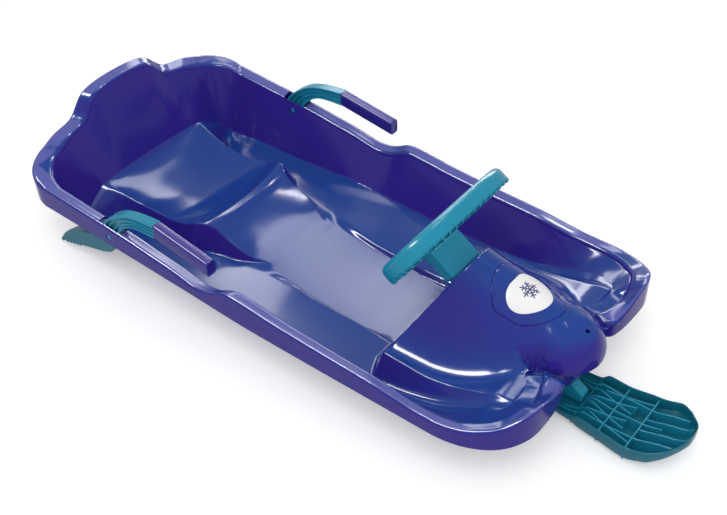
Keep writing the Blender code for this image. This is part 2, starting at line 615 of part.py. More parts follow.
def build_tub() -> bpy.types.Object:
    """Return the tub with its keels, webs, slots and holes."""
    rows = tub_grid()
    count = len(STATIONS)
    points = [p for row in rows for p in row]
    faces = []
    for r in range(len(rows) - 1):
        for c in range(count - 1):
            a = r * count + c
            faces.append((a, a + count, a + count + 1, a + 1))
    mesh = bpy.data.meshes.new("tub")
    mesh.from_pydata([tuple(map(float, p)) for p in points], [], faces)
    mesh.shade_smooth()
    tub = add_object("tub", mesh, INDIGO)
    half = tub.modifiers.new("halves", "MIRROR")
    half.merge_threshold = 0.00005
    half.use_clip = True
    wall = tub.modifiers.new("wall", "SOLIDIFY")
    wall.thickness = SHELL
    wall.offset = -1.0
    wall.use_even_offset = False
    for side in (-1, 1):
        planes = np.linspace(KEEL_FRONT, KEEL_REAR, 12)
        line = [(side * KEEL_X, y) for y in planes]

        def low(x, y):
            """Return the keel's lower edge, lifted at both ends."""
            lift = smooth_curve(((KEEL_FRONT, 0.012), (KEEL_FRONT + 0.05, 0.0), (KEEL_REAR - 0.05, 0.0),
                                 (KEEL_REAR, 0.010)), y)
            return float(lift)

        def high(x, y):
            """Return a height inside the thickness of the shell."""
            return float(tub_height(x, y)) - SHELL / 2

        keel = curtain("keel_%d" % (side > 0), line, KEEL_WIDTH, low, high, cutter=True)
        cut(tub, keel, "UNION")
    xs = np.linspace(-WEB_HALF_WIDTH, WEB_HALF_WIDTH, 11)
    sections = []
    for y in np.linspace(-0.190, -0.400, 10):
        top = [(x, y, float(tub_height(x, y)) - SHELL * 0.85) for x in xs]
        sections.append([(xs[0], y, 0.040), *top, (xs[-1], y, 0.040)])
    under = loft("under_bonnet", sections, cutter=True)
    for number, along in enumerate((UPPER_WEB, LOWER_WEB)):
        web = box("web_%d" % number, (0.140, 0.150 + WEB_DROP, WEB_THICKNESS),
                  axis_point(along, 0.075 - WEB_DROP / 2), cutter=True,
                  turn=axis_frame(0).to_3x3().to_4x4())
        cut(web, under, "INTERSECT")
        cut(tub, web, "UNION")
    bore = cylinder("bush_bore", SHAFT_DIAMETER + 2 * (GAP + BUSH_WALL + GAP), 0.180,
                    axis_frame(UPPER_WEB - 0.010), cutter=True, segments=24)
    cut(tub, bore)
    dash_hole = cylinder("dash_hole", SHAFT_DIAMETER + 0.010, UPPER_WEB - SLEEVE_END + 0.005,
                         axis_frame(SLEEVE_END - 0.010), cutter=True)
    cut(tub, dash_hole)
    cut(tub, patch("hatch_opening", hatch_outline(GAP), -0.012, 0.015, cutter=True))
    eyelet = cylinder("eyelet", 0.007, 0.030, Matrix.Translation((0, -0.419, 0.140)), cutter=True, segments=16)
    cut(tub, eyelet)
    for side in (-1, 1):
        slot = box("lever_slot_%d" % (side > 0), (2 * SLOT_HALF_WIDTH, SLOT_REAR - SLOT_FRONT, 0.060),
                   (side * (BRAKE_X + 0.0005), (SLOT_REAR + SLOT_FRONT) / 2, 0.150), cutter=True)
        cut(tub, slot)
        hole = cylinder("pivot_hole_%d" % (side > 0), BRAKE_PIN_DIAMETER + 2 * GAP, 0.070,
                        side_frame(-0.035 + side * (BRAKE_X - 0.002), BRAKE_PIVOT_Y, BRAKE_PIVOT_Z), cutter=True)
        cut(tub, hole)
    return tub


def hatch_outline(grow: float, count: int = 40):
    """Return the hatch outline in plan, moved outward by the given amount.

    For each of 160 directions the reach is found by halving the range in which the point lies
    inside the two bowed ends and the two leaning sides. Averaging with the neighbours rounds the
    corners, and then every fourth direction is kept.
    """
    turn = np.linspace(0, 2 * np.pi, 4 * count, endpoint=False)
    c, s = np.cos(turn), np.sin(turn)
    low, high = np.zeros(4 * count), np.full(4 * count, 0.12)
    for _ in range(40):
        r = (low + high) / 2
        x, y = r * c, HATCH_CENTRE_Y + r * s
        half = HATCH_HALF_WIDTH - 0.06 * (HATCH_CENTRE_Y - y)
        inside = (np.abs(x) < half) & (y < HATCH_REAR_Y - 9.9 * x * x) & (y > HATCH_FRONT_Y + 19.85 * x * x)
        low, high = np.where(inside, r, low), np.where(inside, high, r)
    for _ in range(16):
        low = (np.roll(low, 1) + 2 * low + np.roll(low, -1)) / 4
    reach = low[::4] + grow
    return list(zip(reach * c[::4], HATCH_CENTRE_Y + reach * s[::4]))


def badge_outline(grow: float, count: int = 40):
    """Return the plan outline of the pick-shaped badge, broad to the rear and pointed to the front."""
    points = []
    for k in range(count):
        angle = 2 * math.pi * k / count
        c, s = math.cos(angle), math.sin(angle)
        radius = BADGE_RADIUS * (1 + 0.10 * math.cos(2 * angle)) - 0.0020 * s + 0.0029 * math.sin(3 * angle) + grow
        points.append((radius * c, HATCH_CENTRE_Y + radius * s))
    return points


# Shares of an outline at which a patch has its rings
PATCH_SHARES = (0.25, 0.50, 0.75, 1.0)


def patch(name: str, outline, low: float, high: float, material=None, cutter: bool = False):
    """Return a solid over a plan outline, between two offsets from the tub's upper surface."""
    count = len(outline)
    points = []
    for offset in (high, low):
        for share in PATCH_SHARES:
            row = polar_rows(((outline, share),), HATCH_CENTRE_Y)[0]
            points.extend((x, y, float(tub_height(x, y)) + offset) for x, y in row)
    centre = float(tub_height(0.0, HATCH_CENTRE_Y))
    points.append((0.0, HATCH_CENTRE_Y, centre + high))
    points.append((0.0, HATCH_CENTRE_Y, centre + low))
    top, bottom = len(points) - 2, len(points) - 1
    lower = len(PATCH_SHARES) * count
    faces = []
    for k in range(count):
        n = (k + 1) % count
        faces.append((top, k, n))
        faces.append((bottom, lower + n, lower + k))
        for r in range(len(PATCH_SHARES) - 1):
            a = r * count
            faces.append((a + k, a + count + k, a + count + n, a + n))
            a += lower
            faces.append((a + k, a + n, a + count + n, a + count + k))
        faces.append((lower - count + k, 2 * lower - count + k, 2 * lower - count + n, lower - count + n))
    return add_object(name, mesh_of(name, points, faces), material, cutter)


def polar_rows(outlines, centre_y: float):
    """Return rows of plan points from the centre outward through the given outlines."""
    rows = []
    for outline, share in outlines:
        rows.append([((x * share), centre_y + (y - centre_y) * share) for x, y in outline])
    return rows


def build_hatch() -> None:
    """Make the lid in the bonnet with its two hooks, and the badge in its recess."""
    centre = HATCH_CENTRE_Y
    badge = badge_outline(0.0)
    recess = badge_outline(GAP)
    lid = hatch_outline(0.0)
    count = len(lid)
    middle = [((a[0] + b[0]) / 2, (a[1] + b[1]) / 2) for a, b in zip(recess, lid)]
    floor = [(recess, share) for share in PATCH_SHARES]
    layers = [(polar_rows(floor, centre), -BADGE_DEPTH),
              (polar_rows(((recess, 1.0), (middle, 1.0), (lid, 1.0)), centre), 0.0),
              (polar_rows(((lid, 1.0), (middle, 1.0), *floor[::-1]), centre), -SHELL)]
    points = [(0.0, centre, float(tub_height(0.0, centre)) - BADGE_DEPTH)]
    for rows, offset in layers:
        for row in rows:
            points.extend((x, y, float(tub_height(x, y)) + offset) for x, y in row)
    total = sum(len(rows) for rows, _ in layers)
    points.append((0.0, centre, float(tub_height(0.0, centre)) - SHELL))
    faces = []
    for k in range(count):
        n = (k + 1) % count
        faces.append((0, 1 + k, 1 + n))
        for r in range(total - 1):
            a = 1 + r * count
            faces.append((a + k, a + count + k, a + count + n, a + n))
        a = 1 + (total - 1) * count
        faces.append((a + k, len(points) - 1, a + n))
    mesh = mesh_of("hatch_cover", points, faces)
    hatch = add_object("hatch_cover", mesh, INDIGO)
    for name, y, reach in (("rear", HATCH_REAR_Y, 0.004), ("front", HATCH_FRONT_Y, -0.004)):
        inward = -0.005 if reach > 0 else 0.005
        top = float(tub_height(0, y)) - SHELL
        profile = [(y + inward * 2, top + inward * 2 * BONNET_SLOPE + 0.002),
                   (y + inward * 2, top - 0.008),
                   (y + reach, top + reach * BONNET_SLOPE - 0.007),
                   (y + reach, top + reach * BONNET_SLOPE - 0.0035),
                   (y + inward, top + inward * BONNET_SLOPE - 0.0035),
                   (y + inward, top + inward * BONNET_SLOPE + 0.002)]
        hook = side_plate("hook_" + name, profile, 0.0, 0.014, cutter=True)
        cut(hatch, hook, "UNION")
    patch("hatch_badge", badge, GAP - BADGE_DEPTH, 0.0, WHITE)


def wheel_point(turn: float, inset: float, along: float) -> Vector:
    """Return a point of the wheel's rim: round it, inward from its outer edge, and along the axis."""
    a, b = WHEEL_WIDTH / 2 - inset, WHEEL_HEIGHT / 2 - inset
    power = 2 / 2.7
    c, s = math.cos(turn), math.sin(turn)
    x = a * math.copysign(abs(c) ** power, c)
    rise = b * math.copysign(abs(s) ** power, s)
    return axis_point(along, WHEEL_RISE + rise, x)


def build_wheel() -> None:
    """Make the hand wheel, ribbed on its front side, and the flat sleeve below it."""
    count = 44
    turns = [2 * math.pi * (k + 0.5) / count for k in range(count)]
    back = WHEEL_AT - WHEEL_DEPTH / 2
    front = WHEEL_AT + WHEEL_DEPTH / 2
    half_section = ((0.0025, front), (0.0007, front - 0.0015), (0.0, front - 0.005), (0.0, back + 0.011),
                    (0.0035, back + 0.0035), (0.010, back))
    section = (*half_section, *((WHEEL_BAR - inset, along) for inset, along in half_section[::-1]))
    points = [wheel_point(t, inset, along) for t in turns for inset, along in section]
    size = len(section)
    faces = []
    for k in range(count):
        n = (k + 1) % count
        for j in range(size):
            m = (j + 1) % size
            faces.append((k * size + j, k * size + m, n * size + m, n * size + j))
    wheel = add_object("steering_wheel", mesh_of("steering_wheel", points, faces), TEAL)
    points, faces = [], []
    rib = 0.10
    for k in range(WHEEL_POCKETS):
        start = 2 * math.pi * (k + rib / 2) / WHEEL_POCKETS
        stop = 2 * math.pi * (k + 1 - rib / 2) / WHEEL_POCKETS
        base = len(points)
        for turn in (start, (start + stop) / 2, stop):
            for inset, along in ((WHEEL_WALL, front + 0.002), (WHEEL_WALL, back + 0.011),
                                 (WHEEL_WALL + 0.006, back + WHEEL_WALL),
                                 (WHEEL_BAR - WHEEL_WALL - 0.006, back + WHEEL_WALL),
                                 (WHEEL_BAR - WHEEL_WALL, back + 0.011), (WHEEL_BAR - WHEEL_WALL, front + 0.002)):
                points.append(wheel_point(turn, inset, along))
        for r in range(2):
            for j in range(6):
                a = base + r * 6 + j
                b = base + r * 6 + (j + 1) % 6
                faces.append((a, b, b + 6, a + 6))
        faces.append(tuple(range(base, base + 6)))
        faces.append(tuple(range(base + 12, base + 18)))
    pockets = add_object("wheel_pockets", mesh_of("wheel_pockets", points, faces), cutter=True)
    cut(wheel, pockets)
    turn = axis_frame(0).to_3x3().to_4x4()
    hub = box("wheel_hub", (HUB_WIDTH, HUB_HEIGHT, HUB_DEPTH),
              axis_point(front - 2 * GAP - HUB_DEPTH / 2, -0.004), cutter=True, turn=turn)
    cut(wheel, hub, "UNION")
    socket = cylinder("hub_socket", SHAFT_DIAMETER + 2 * GAP, front + 0.010 - SHAFT_TOP + GAP,
                      axis_frame(SHAFT_TOP - GAP), cutter=True)
    cut(wheel, socket)
    hole = cylinder("hub_screw_hole", WHEEL_SCREW_DIAMETER + 2 * GAP, 0.030, axis_frame(front - 0.040),
                    cutter=True)
    cut(wheel, hole)
    lean = math.atan(DASH_SLOPE) - (math.pi / 2 - AXIS_TILT)
    start, stop = front + GAP, SLEEVE_END
    half = SLEEVE_THICKNESS / 2
    profile = []
    for rise, along in ((half, start), (-half, start), (-half, stop - half * math.tan(lean)),
                        (half, stop + half * math.tan(lean))):
        p = axis_point(along, rise)
        profile.append((p.y, p.z))
    sleeve = side_plate("column_sleeve", profile, 0.0, SLEEVE_WIDTH, TEAL)
    bevel(sleeve, 0.004, 3)
    bore = cylinder("sleeve_bore", SHAFT_DIAMETER + 2 * GAP, 0.100, axis_frame(start - 0.010), cutter=True)
    cut(sleeve, bore)
    pin_hole = pin_place(0.004, 0.040)
    cut(sleeve, cylinder("sleeve_pin_hole", PIN_DIAMETER + 2 * GAP, 0.0486, pin_hole, cutter=True, segments=16))


def pin_place(along: float, below: float) -> Matrix:
    """Return a place below the steering axis whose local Z points up across it."""
    place = axis_frame(along) @ Matrix.Rotation(-math.pi / 2, 4, "X")
    place.translation = axis_point(along, -below)
    return place


def build_shaft() -> None:
    """Make the shaft, its bushes, its collar and its pins."""
    shaft = cylinder("steering_shaft", SHAFT_DIAMETER, SHAFT_END - SHAFT_TOP, axis_frame(SHAFT_TOP), STEEL)
    cut(shaft, cylinder("shaft_tapping", WHEEL_SCREW_DIAMETER + 2 * GAP, 0.032, axis_frame(SHAFT_TOP - 0.010),
                        cutter=True, segments=16))
    cut(shaft, cylinder("shaft_upper_pin_hole", PIN_DIAMETER + 2 * GAP, 0.0486, pin_place(0.004, 0.040),
                        cutter=True, segments=16))
    cut(shaft, cylinder("shaft_lower_pin_hole", PIN_DIAMETER + 2 * GAP, 0.060,
                        side_frame(-0.030, *axis_point(0.245).yz), cutter=True, segments=16))
    half = WEB_THICKNESS / 2
    inner = SHAFT_DIAMETER / 2 + GAP
    outer = inner + BUSH_WALL
    flange = BUSH_FLANGE_DIAMETER / 2
    profile = ((inner, -half - 0.002), (outer, -half - 0.002), (outer, half + GAP), (flange, half + GAP),
               (flange, half + GAP + BUSH_FLANGE), (inner, half + GAP + BUSH_FLANGE))
    turned("bush_upper", profile, axis_frame(UPPER_WEB), BUSH)
    turned("bush_lower", profile, axis_frame(LOWER_WEB), BUSH)
    start = UPPER_WEB + half + GAP + BUSH_FLANGE + GAP
    radius = COLLAR_DIAMETER / 2
    turned("shaft_collar", ((inner, 0), (radius, 0), (radius, COLLAR_LENGTH), (inner, COLLAR_LENGTH)),
           axis_frame(start), STEEL)
    cylinder("sleeve_pin", PIN_DIAMETER, 0.0195, pin_place(0.004, 0.0120), STEEL, segments=16)
    cylinder("mount_pin", PIN_DIAMETER, MOUNT_WIDTH - 0.0006,
             side_frame(-(MOUNT_WIDTH - 0.0006) / 2, *axis_point(0.245).yz), STEEL, segments=16)
    head_at = WHEEL_AT + WHEEL_DEPTH / 2 - HUB_DEPTH - 2 * GAP
    turned_solid("wheel_screw", ((0.0, -GAP - 0.004), (WHEEL_SCREW_HEAD / 2, -GAP - 0.004),
                                 (WHEEL_SCREW_HEAD / 2, -GAP), (WHEEL_SCREW_DIAMETER / 2, -GAP),
                                 (WHEEL_SCREW_DIAMETER / 2, 0.024), (0.0, 0.024)),
                 axis_frame(head_at), STEEL)


def turned_solid(name: str, profile, place: Matrix, material, segments: int = 20) -> bpy.types.Object:
    """Return a turned solid whose (radius, height) profile starts and ends on the axis."""
    points = [(0.0, 0.0, profile[0][1])]
    inner = profile[1:-1]
    for radius, height in inner:
        for step in range(segments):
            angle = 2 * math.pi * step / segments
            points.append((radius * math.cos(angle), radius * math.sin(angle), height))
    points.append((0.0, 0.0, profile[-1][1]))
    faces = []
    for step in range(segments):
        n = (step + 1) % segments
        faces.append((0, 1 + n, 1 + step))
        for r in range(len(inner) - 1):
            a = 1 + r * segments
            faces.append((a + step, a + n, a + segments + n, a + segments + step))
        a = 1 + (len(inner) - 1) * segments
        faces.append((len(points) - 1, a + step, a + n))
    mesh = mesh_of(name, points, faces)
    mesh.shade_smooth()
    mesh.set_sharp_from_angle(angle=math.radians(40))
    made = add_object(name, mesh, material)
    made.matrix_world = place
    return made


def sole(y):
    """Return the height of the ski's sole."""
    return smooth_curve(((SKI_TIP, 0.045), (-0.585, 0.032), (-0.558, 0.017), (-0.530, 0.005),
                         (-0.490, 0.004), (-0.430, 0.008), (-0.400, 0.010), (SKI_REAR, 0.011)), y)


def ski_rim(y):
    """Return the height of the ski's upper edge."""
    return smooth_curve(((SKI_TIP, 0.066), (-0.592, 0.054), (-0.567, 0.046), (-0.529, 0.033), (-0.483, 0.031),
                         (-0.447, 0.034), (-0.435, 0.025), (-0.415, 0.023), (SKI_REAR, 0.022)), y)


def ski_half_width(y):
    """Return half the ski's width at its upper edge."""
    return smooth_curve(((SKI_TIP, 0.012), (-0.602, 0.022), (-0.594, 0.035), (-0.580, 0.050), (-0.560, 0.060),
                         (-0.529, 0.060), (-0.483, 0.054), (-0.447, 0.052), (-0.435, 0.049), (SKI_REAR, 0.048)), y)


def ski_section(y: float, inset: float, raise_floor: float, above: float):
    """Return one section of the ski's hull, or of its inside when inset."""
    half = float(ski_half_width(y)) - inset
    low = float(sole(y)) + raise_floor
    high = float(ski_rim(y)) + above
    foot = half - 0.003
    return [(-half, y, high), (-half + 0.0008, y, low + 0.008), (-foot + 0.002, y, low + 0.001),
            (-foot + 0.010, y, low), (foot - 0.010, y, low), (foot - 0.002, y, low + 0.001),
            (half - 0.0008, y, low + 0.008), (half, y, high)]


def build_ski() -> None:
    """Make the ribbed ski tray with its keel, the mount on it and their screws."""
    planes = (SKI_REAR, -0.410, -0.435, -0.447, -0.483, -0.515, -0.529, -0.545, -0.560, -0.580, -0.594,
              -0.602, SKI_TIP)
    ski = loft("front_ski", [ski_section(y, 0.0, 0.0, 0.0) for y in planes], TEAL)
    inside = [ski_section(y, SKI_WALL, SKI_WALL, 0.010) for y in planes[:-2]]
    first = [(x, SKI_REAR + 0.010, z) for x, _, z in inside[0]]
    last = [(x, SKI_TIP + SKI_WALL, z) for x, _, z in ski_section(SKI_TIP + 0.004, SKI_WALL, SKI_WALL, 0.010)]
    cut(ski, loft("ski_inside", [first, *inside, last], cutter=True))

    def rib_low(x, y):
        """Return a height inside the thickness of the ski's floor."""
        return float(sole(y)) + SKI_WALL * 0.5

    def rib_high(x, y):
        """Return the height of the ribs' upper edges."""
        return float(ski_rim(y)) - SKI_RIB_DROP

    lines = []
    for y in (-0.4365, -0.482, -0.529):
        reach = float(ski_half_width(y)) - SKI_WALL / 2
        lines.append([(x, y) for x in np.linspace(-reach, reach, 3)])
    lines.append([(0.0, y) for y in (-0.4365, -0.450, -0.482, -0.505, -0.529, -0.560)])
    for side in (-1, 1):
        lines.append([(side * x, y) for x, y in ((0.035, -0.400), (0.0345, -0.4365), (0.0335, -0.482),
                                                 (0.0325, -0.529), (0.0318, -0.560), (0.031, -0.588))])
        lines.append([(side * x, y) for x, y in ((0.012, -0.529), (0.012, -0.560), (0.012, -0.585), (0.012, -0.603))])
        lines.append([(side * (0.008 + 0.016 * k / 3), -0.4365 - 0.0725 * k / 3) for k in range(4)])
    for number, line in enumerate(lines):
        cut(ski, curtain("ski_rib_%02d" % number, line, SKI_RIB, rib_low, rib_high, cutter=True), "UNION")
    keel = curtain("ski_keel", [(0.0, y) for y in (-0.445, -0.460, -0.490, -0.530, -0.550, -0.575)], 0.006,
                   lambda x, y: float(smooth_curve(((-0.575, 0.024), (-0.550, 0.006), (-0.530, 0.0), (-0.460, 0.0),
                                                    (-0.445, 0.0065)), y)),
                   lambda x, y: float(sole(y)) + SKI_WALL * 0.5, cutter=True)
    cut(ski, keel, "UNION")
    floor = float(sole(MOUNT_FOOT_REAR)) + SKI_WALL + GAP
    top_rear = axis_point(MOUNT_START, MOUNT_HALF_HEIGHT)
    top_front = axis_point(0.290, MOUNT_HALF_HEIGHT)
    low_rear = axis_point(MOUNT_START, -MOUNT_HALF_HEIGHT)
    profile = [(top_rear.y, top_rear.z), (low_rear.y, low_rear.z), (MOUNT_FOOT_REAR, floor),
               (MOUNT_FRONT, floor), (MOUNT_FRONT, 0.030), (top_front.y, top_front.z)]
    mount = side_plate("ski_mount", profile, 0.0, MOUNT_WIDTH, TEAL)
    cut(mount, cylinder("mount_bore", SHAFT_DIAMETER + 2 * GAP, 0.100, axis_frame(SHAFT_END + GAP - 0.100),
                        cutter=True))
    cut(mount, cylinder("mount_pin_hole", PIN_DIAMETER + 2 * GAP, 0.060,
                        side_frame(-0.030, *axis_point(0.245).yz), cutter=True, segments=16))
    for name, y, top in (("rear", -0.394, 0.0225), ("front", -0.424, 0.0275)):
        under = float(sole(y))
        hole = cylinder("ski_screw_hole_" + name, SKI_SCREW_DIAMETER + 2 * GAP, top - under + 0.010 + GAP,
                        Matrix.Translation((0, y, under - 0.010)), cutter=True, segments=16)
        cut(ski, hole)
        cut(mount, hole)
        turned_solid("ski_screw_" + name, ((0.0, -0.0025), (SKI_SCREW_HEAD / 2, -0.0025),
                                           (SKI_SCREW_HEAD / 2, 0.0), (SKI_SCREW_DIAMETER / 2, 0.0),
                                           (SKI_SCREW_DIAMETER / 2, top - under), (0.0, top - under)),
                     Matrix.Translation((0, y, under - 2 * GAP)), STEEL, 16)


def build_brake(side: int, word: str) -> None:
    """Make one brake: lever, grip, pivot pin and clip."""
    x = side * BRAKE_X
    turn_at = (BRAKE_PIVOT_Y, BRAKE_PIVOT_Z)
    arm = [(0.366, 0.1435), (0.360, 0.148), (0.345, 0.1605), (0.3266, 0.1735), (0.300, 0.184), (0.270, 0.1905),
           (GRIP_REAR + GAP, GRIP_TOP), (GRIP_REAR + GAP, GRIP_TOP - GRIP_HEIGHT), (0.275, 0.1655),
           (0.298, 0.160), (0.318, 0.148), (0.3285, 0.1385)]
    lever = side_plate("brake_lever_" + word, arm, x, ARM_WIDTH, TEAL)
    bevel(lever, 0.0015, 1)
    blade = [(0.338, 0.150), (0.341, 0.120), (0.347, 0.100), (0.379, 0.061), (0.403, 0.050), (0.480, 0.027),
             (0.490, 0.027), (0.492, 0.0225), (0.501, 0.0225), (0.503, 0.0180), (0.512, 0.0180),
             (0.514, 0.0135), (0.523, 0.0135), (0.529, 0.0085), (0.533, 0.013), (0.512, 0.039),
             (0.482, 0.062), (0.443, 0.074), (0.395, 0.092), (0.380, 0.108), (0.3775, 0.131), (0.362, 0.145),
             (0.352, 0.150)]
    foot = side_plate("brake_blade_" + word, blade, x, BLADE_WIDTH, cutter=True)
    cut(lever, foot, "UNION")

    def along(share: float, rise: float):
        """Return a side point of the grip, by its length and its height below the top."""
        y = GRIP_REAR - GRIP_LENGTH * share
        return y, GRIP_TOP - GRIP_FALL * GRIP_LENGTH * share - rise

    drop = (GRIP_HEIGHT - TANG_HEIGHT) / 2
    reach = TANG_LENGTH / GRIP_LENGTH
    tang = [along(-0.05, drop), along(-0.05, drop + TANG_HEIGHT), along(reach, drop + TANG_HEIGHT), along(reach, drop)]
    cut(lever, side_plate("brake_tang_" + word, tang, x, TANG_WIDTH, cutter=True), "UNION")
    cut(lever, cylinder("lever_hole_" + word, BRAKE_PIN_DIAMETER + 2 * GAP, 0.060,
                        side_frame(x - 0.030, *turn_at), cutter=True))
    grip = side_plate("brake_grip_" + word, [along(0, 0), along(0, GRIP_HEIGHT), along(1, GRIP_HEIGHT), along(1, 0)],
                      x, ARM_WIDTH, GRIP_BLUE)
    bevel(grip, 0.003, 2)
    hollow = [along(-0.05, drop - GAP), along(-0.05, drop + TANG_HEIGHT + GAP),
              along(reach + GAP / GRIP_LENGTH, drop + TANG_HEIGHT + GAP),
              along(reach + GAP / GRIP_LENGTH, drop - GAP)]
    cut(grip, side_plate("grip_hollow_" + word, hollow, x, TANG_WIDTH + 2 * GAP, cutter=True))
    start = BRAKE_PIN_INNER_X if side > 0 else -BRAKE_PIN_OUTER_X
    cylinder("brake_pin_" + word, BRAKE_PIN_DIAMETER, BRAKE_PIN_OUTER_X - BRAKE_PIN_INNER_X,
             side_frame(start, *turn_at), TEAL)
    inner = BRAKE_PIN_DIAMETER / 2 + GAP
    near = BRAKE_X - BLADE_WIDTH / 2 - GAP - CLIP_THICKNESS
    start = near if side > 0 else -near - CLIP_THICKNESS
    turned("brake_clip_" + word, ((inner, 0), (CLIP_DIAMETER / 2, 0), (CLIP_DIAMETER / 2, CLIP_THICKNESS),
                                  (inner, CLIP_THICKNESS)), side_frame(start, *turn_at), STEEL)


def hang_on_axis(name: str, point, pieces) -> None:
    """Parent moving pieces to an empty that stands on their joint's axis."""
    axis = bpy.data.objects.new(name, None)
    axis.empty_display_size = 0.05
    axis.location = point
    PARTS.objects.link(axis)
    for piece in pieces:
        body = PARTS.objects[piece]
        body.parent = axis
        body.matrix_parent_inverse = Matrix.Translation(-Vector(point))


def main() -> None:
    """Build every piece of the bob."""
    build_tub()
    build_hatch()
    build_wheel()
    build_shaft()
    build_ski()
    build_brake(1, "left")
    build_brake(-1, "right")
    hang_on_axis("steering_axis", axis_point(0.0),
                 ("steering_wheel", "column_sleeve", "steering_shaft", "shaft_collar", "sleeve_pin", "mount_pin",
                  "wheel_screw", "ski_mount", "front_ski", "ski_screw_front", "ski_screw_rear"))
    for side, word in ((1, "left"), (-1, "right")):
        hang_on_axis("brake_axis_" + word, (side * BRAKE_X, BRAKE_PIVOT_Y, BRAKE_PIVOT_Z),
                     ("brake_lever_" + word, "brake_grip_" + word))
    for item in (*PARTS.objects, *CUTTERS.objects):
        if item.parent is None:
            item.location.y += CENTRE_SHIFT


main()
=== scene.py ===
"""One-seat steerable snow bob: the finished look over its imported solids.

Metres, +Z up, nose towards -Y. Shapes are drawn in the drawing's own y, and every mesh is moved by
LENGTH_SHIFT, so that the frame's origin is below the middle of the whole length.
"""

import json
import logging
import math
from dataclasses import dataclass, field
from enum import Enum
from functools import partial
from typing import Callable, Iterable, Sequence

import bmesh
import bpy
import numpy as np
from mathutils import Matrix, Vector


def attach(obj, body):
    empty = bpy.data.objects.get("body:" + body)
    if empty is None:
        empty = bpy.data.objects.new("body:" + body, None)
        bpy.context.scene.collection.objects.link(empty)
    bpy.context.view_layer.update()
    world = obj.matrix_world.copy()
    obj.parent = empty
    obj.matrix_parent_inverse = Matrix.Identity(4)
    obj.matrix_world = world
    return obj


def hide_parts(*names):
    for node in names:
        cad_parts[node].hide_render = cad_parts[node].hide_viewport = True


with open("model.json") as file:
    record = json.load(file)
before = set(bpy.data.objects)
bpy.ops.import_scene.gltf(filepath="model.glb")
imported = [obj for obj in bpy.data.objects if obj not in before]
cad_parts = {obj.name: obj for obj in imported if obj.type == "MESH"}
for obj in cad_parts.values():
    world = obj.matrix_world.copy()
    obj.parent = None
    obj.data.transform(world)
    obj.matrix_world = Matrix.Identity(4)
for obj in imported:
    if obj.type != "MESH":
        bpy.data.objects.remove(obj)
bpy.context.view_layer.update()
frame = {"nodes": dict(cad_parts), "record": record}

LOG = logging.getLogger("snow_bob")

LENGTH_SHIFT = -0.004
SHELL = 0.004
AXIS_Y = -0.1765
AXIS_Z = 0.178
AXIS_TILT = math.radians(33.0)
AXIS_COS = math.cos(AXIS_TILT)
AXIS_SIN = math.sin(AXIS_TILT)
BRAKE_X = 0.2385
PIVOT_Y = 0.361
PIVOT_Z = 0.110
CONSOLE_HALF = ((-0.44, 0.120), (-0.375, 0.140), (-0.334, 0.146), (-0.272, 0.152), (-0.233, 0.154),
                (-0.158, 0.153), (-0.085, 0.086))

Array = np.ndarray
Socket = bpy.types.NodeSocket
Tree = bpy.types.NodeTree


class Body(Enum):
    """The moving bodies that pieces ride on."""

    TUB = "tub_body"
    STEERING = "steering_body"
    BRAKE_LEFT = "brake_left_body"
    BRAKE_RIGHT = "brake_right_body"


class Slot(Enum):
    """The record's material slots."""

    TUB = "tub_plastic"
    GRIP = "grip_plastic"
    TEAL = "teal_plastic"
    BADGE = "badge_film"
    BUSH = "bush_plastic"
    STEEL = "zinc_steel"


class Side(Enum):
    """The two sides of the sled, as the sign of x."""

    LEFT = 1
    RIGHT = -1


# Curves and fillets


def smooth_curve(keys: Sequence[tuple[float, float]], at: Array | float) -> Array:
    """Return values of a curve through the keys that never overshoots between them.

    Each span is a cubic whose end slopes are the harmonic mean of the neighbouring chords' slopes.

    Args:
        keys: (position, value) pairs.
        at: positions to read.

    Returns:
        The value at each position.
    """
    table = np.asarray(sorted(keys), dtype=float)
    x, y = table[:, 0], table[:, 1]
    run = np.diff(x)
    rate = np.diff(y) / run
    slope = np.empty_like(y)
    slope[0], slope[-1] = rate[0], rate[-1]
    both = rate[:-1] * rate[1:] > 0
    safe = np.where(both, rate[:-1] + rate[1:], 1.0)
    slope[1:-1] = np.where(both, 2 * rate[:-1] * rate[1:] / safe, 0.0)
    spots = np.clip(np.asarray(at, dtype=float), x[0], x[-1])
    k = np.clip(np.searchsorted(x, spots, side="right") - 1, 0, len(run) - 1)
    t = (spots - x[k]) / run[k]
    rise = y[k + 1] - y[k]
    start, stop = slope[k] * run[k], slope[k + 1] * run[k]
    return y[k] + t * start + t**2 * (3 * rise - 2 * start - stop) + t**3 * (start + stop - 2 * rise)


def smooth_step(value: Array, low: float = 0.0, high: float = 1.0) -> Array:
    """Return a share that rises smoothly from 0 at one limit to 1 at the other: 3 t squared less 2 t cubed.

    Args:
        value: positions to read.
        low: position of share 0.
        high: position of share 1.

    Returns:
        The share at each position.
    """
    share = np.clip((value - low) / (high - low), 0.0, 1.0)
    return share * share * (3 - 2 * share)


def smooth_max(a: Array, b: Array, soft: float) -> Array:
    """Return the larger of two surfaces, with a fillet of the given height between them.

    Args:
        a: heights of the first surface.
        b: heights of the second surface.
        soft: height of the fillet.

    Returns:
        The joined heights.
    """
    share = np.clip(0.5 + 0.5 * (a - b) / soft, 0.0, 1.0)
    return b * (1 - share) + a * share + soft * share * (1 - share)


def smooth_min(a: Array, b: Array, soft: float) -> Array:
    """Return the smaller of two surfaces, with a round edge between them.

    Args:
        a: heights of the first surface.
        b: heights of the second surface.
        soft: height of the round.

    Returns:
        The joined heights.
    """
    return -smooth_max(-a, -b, soft)


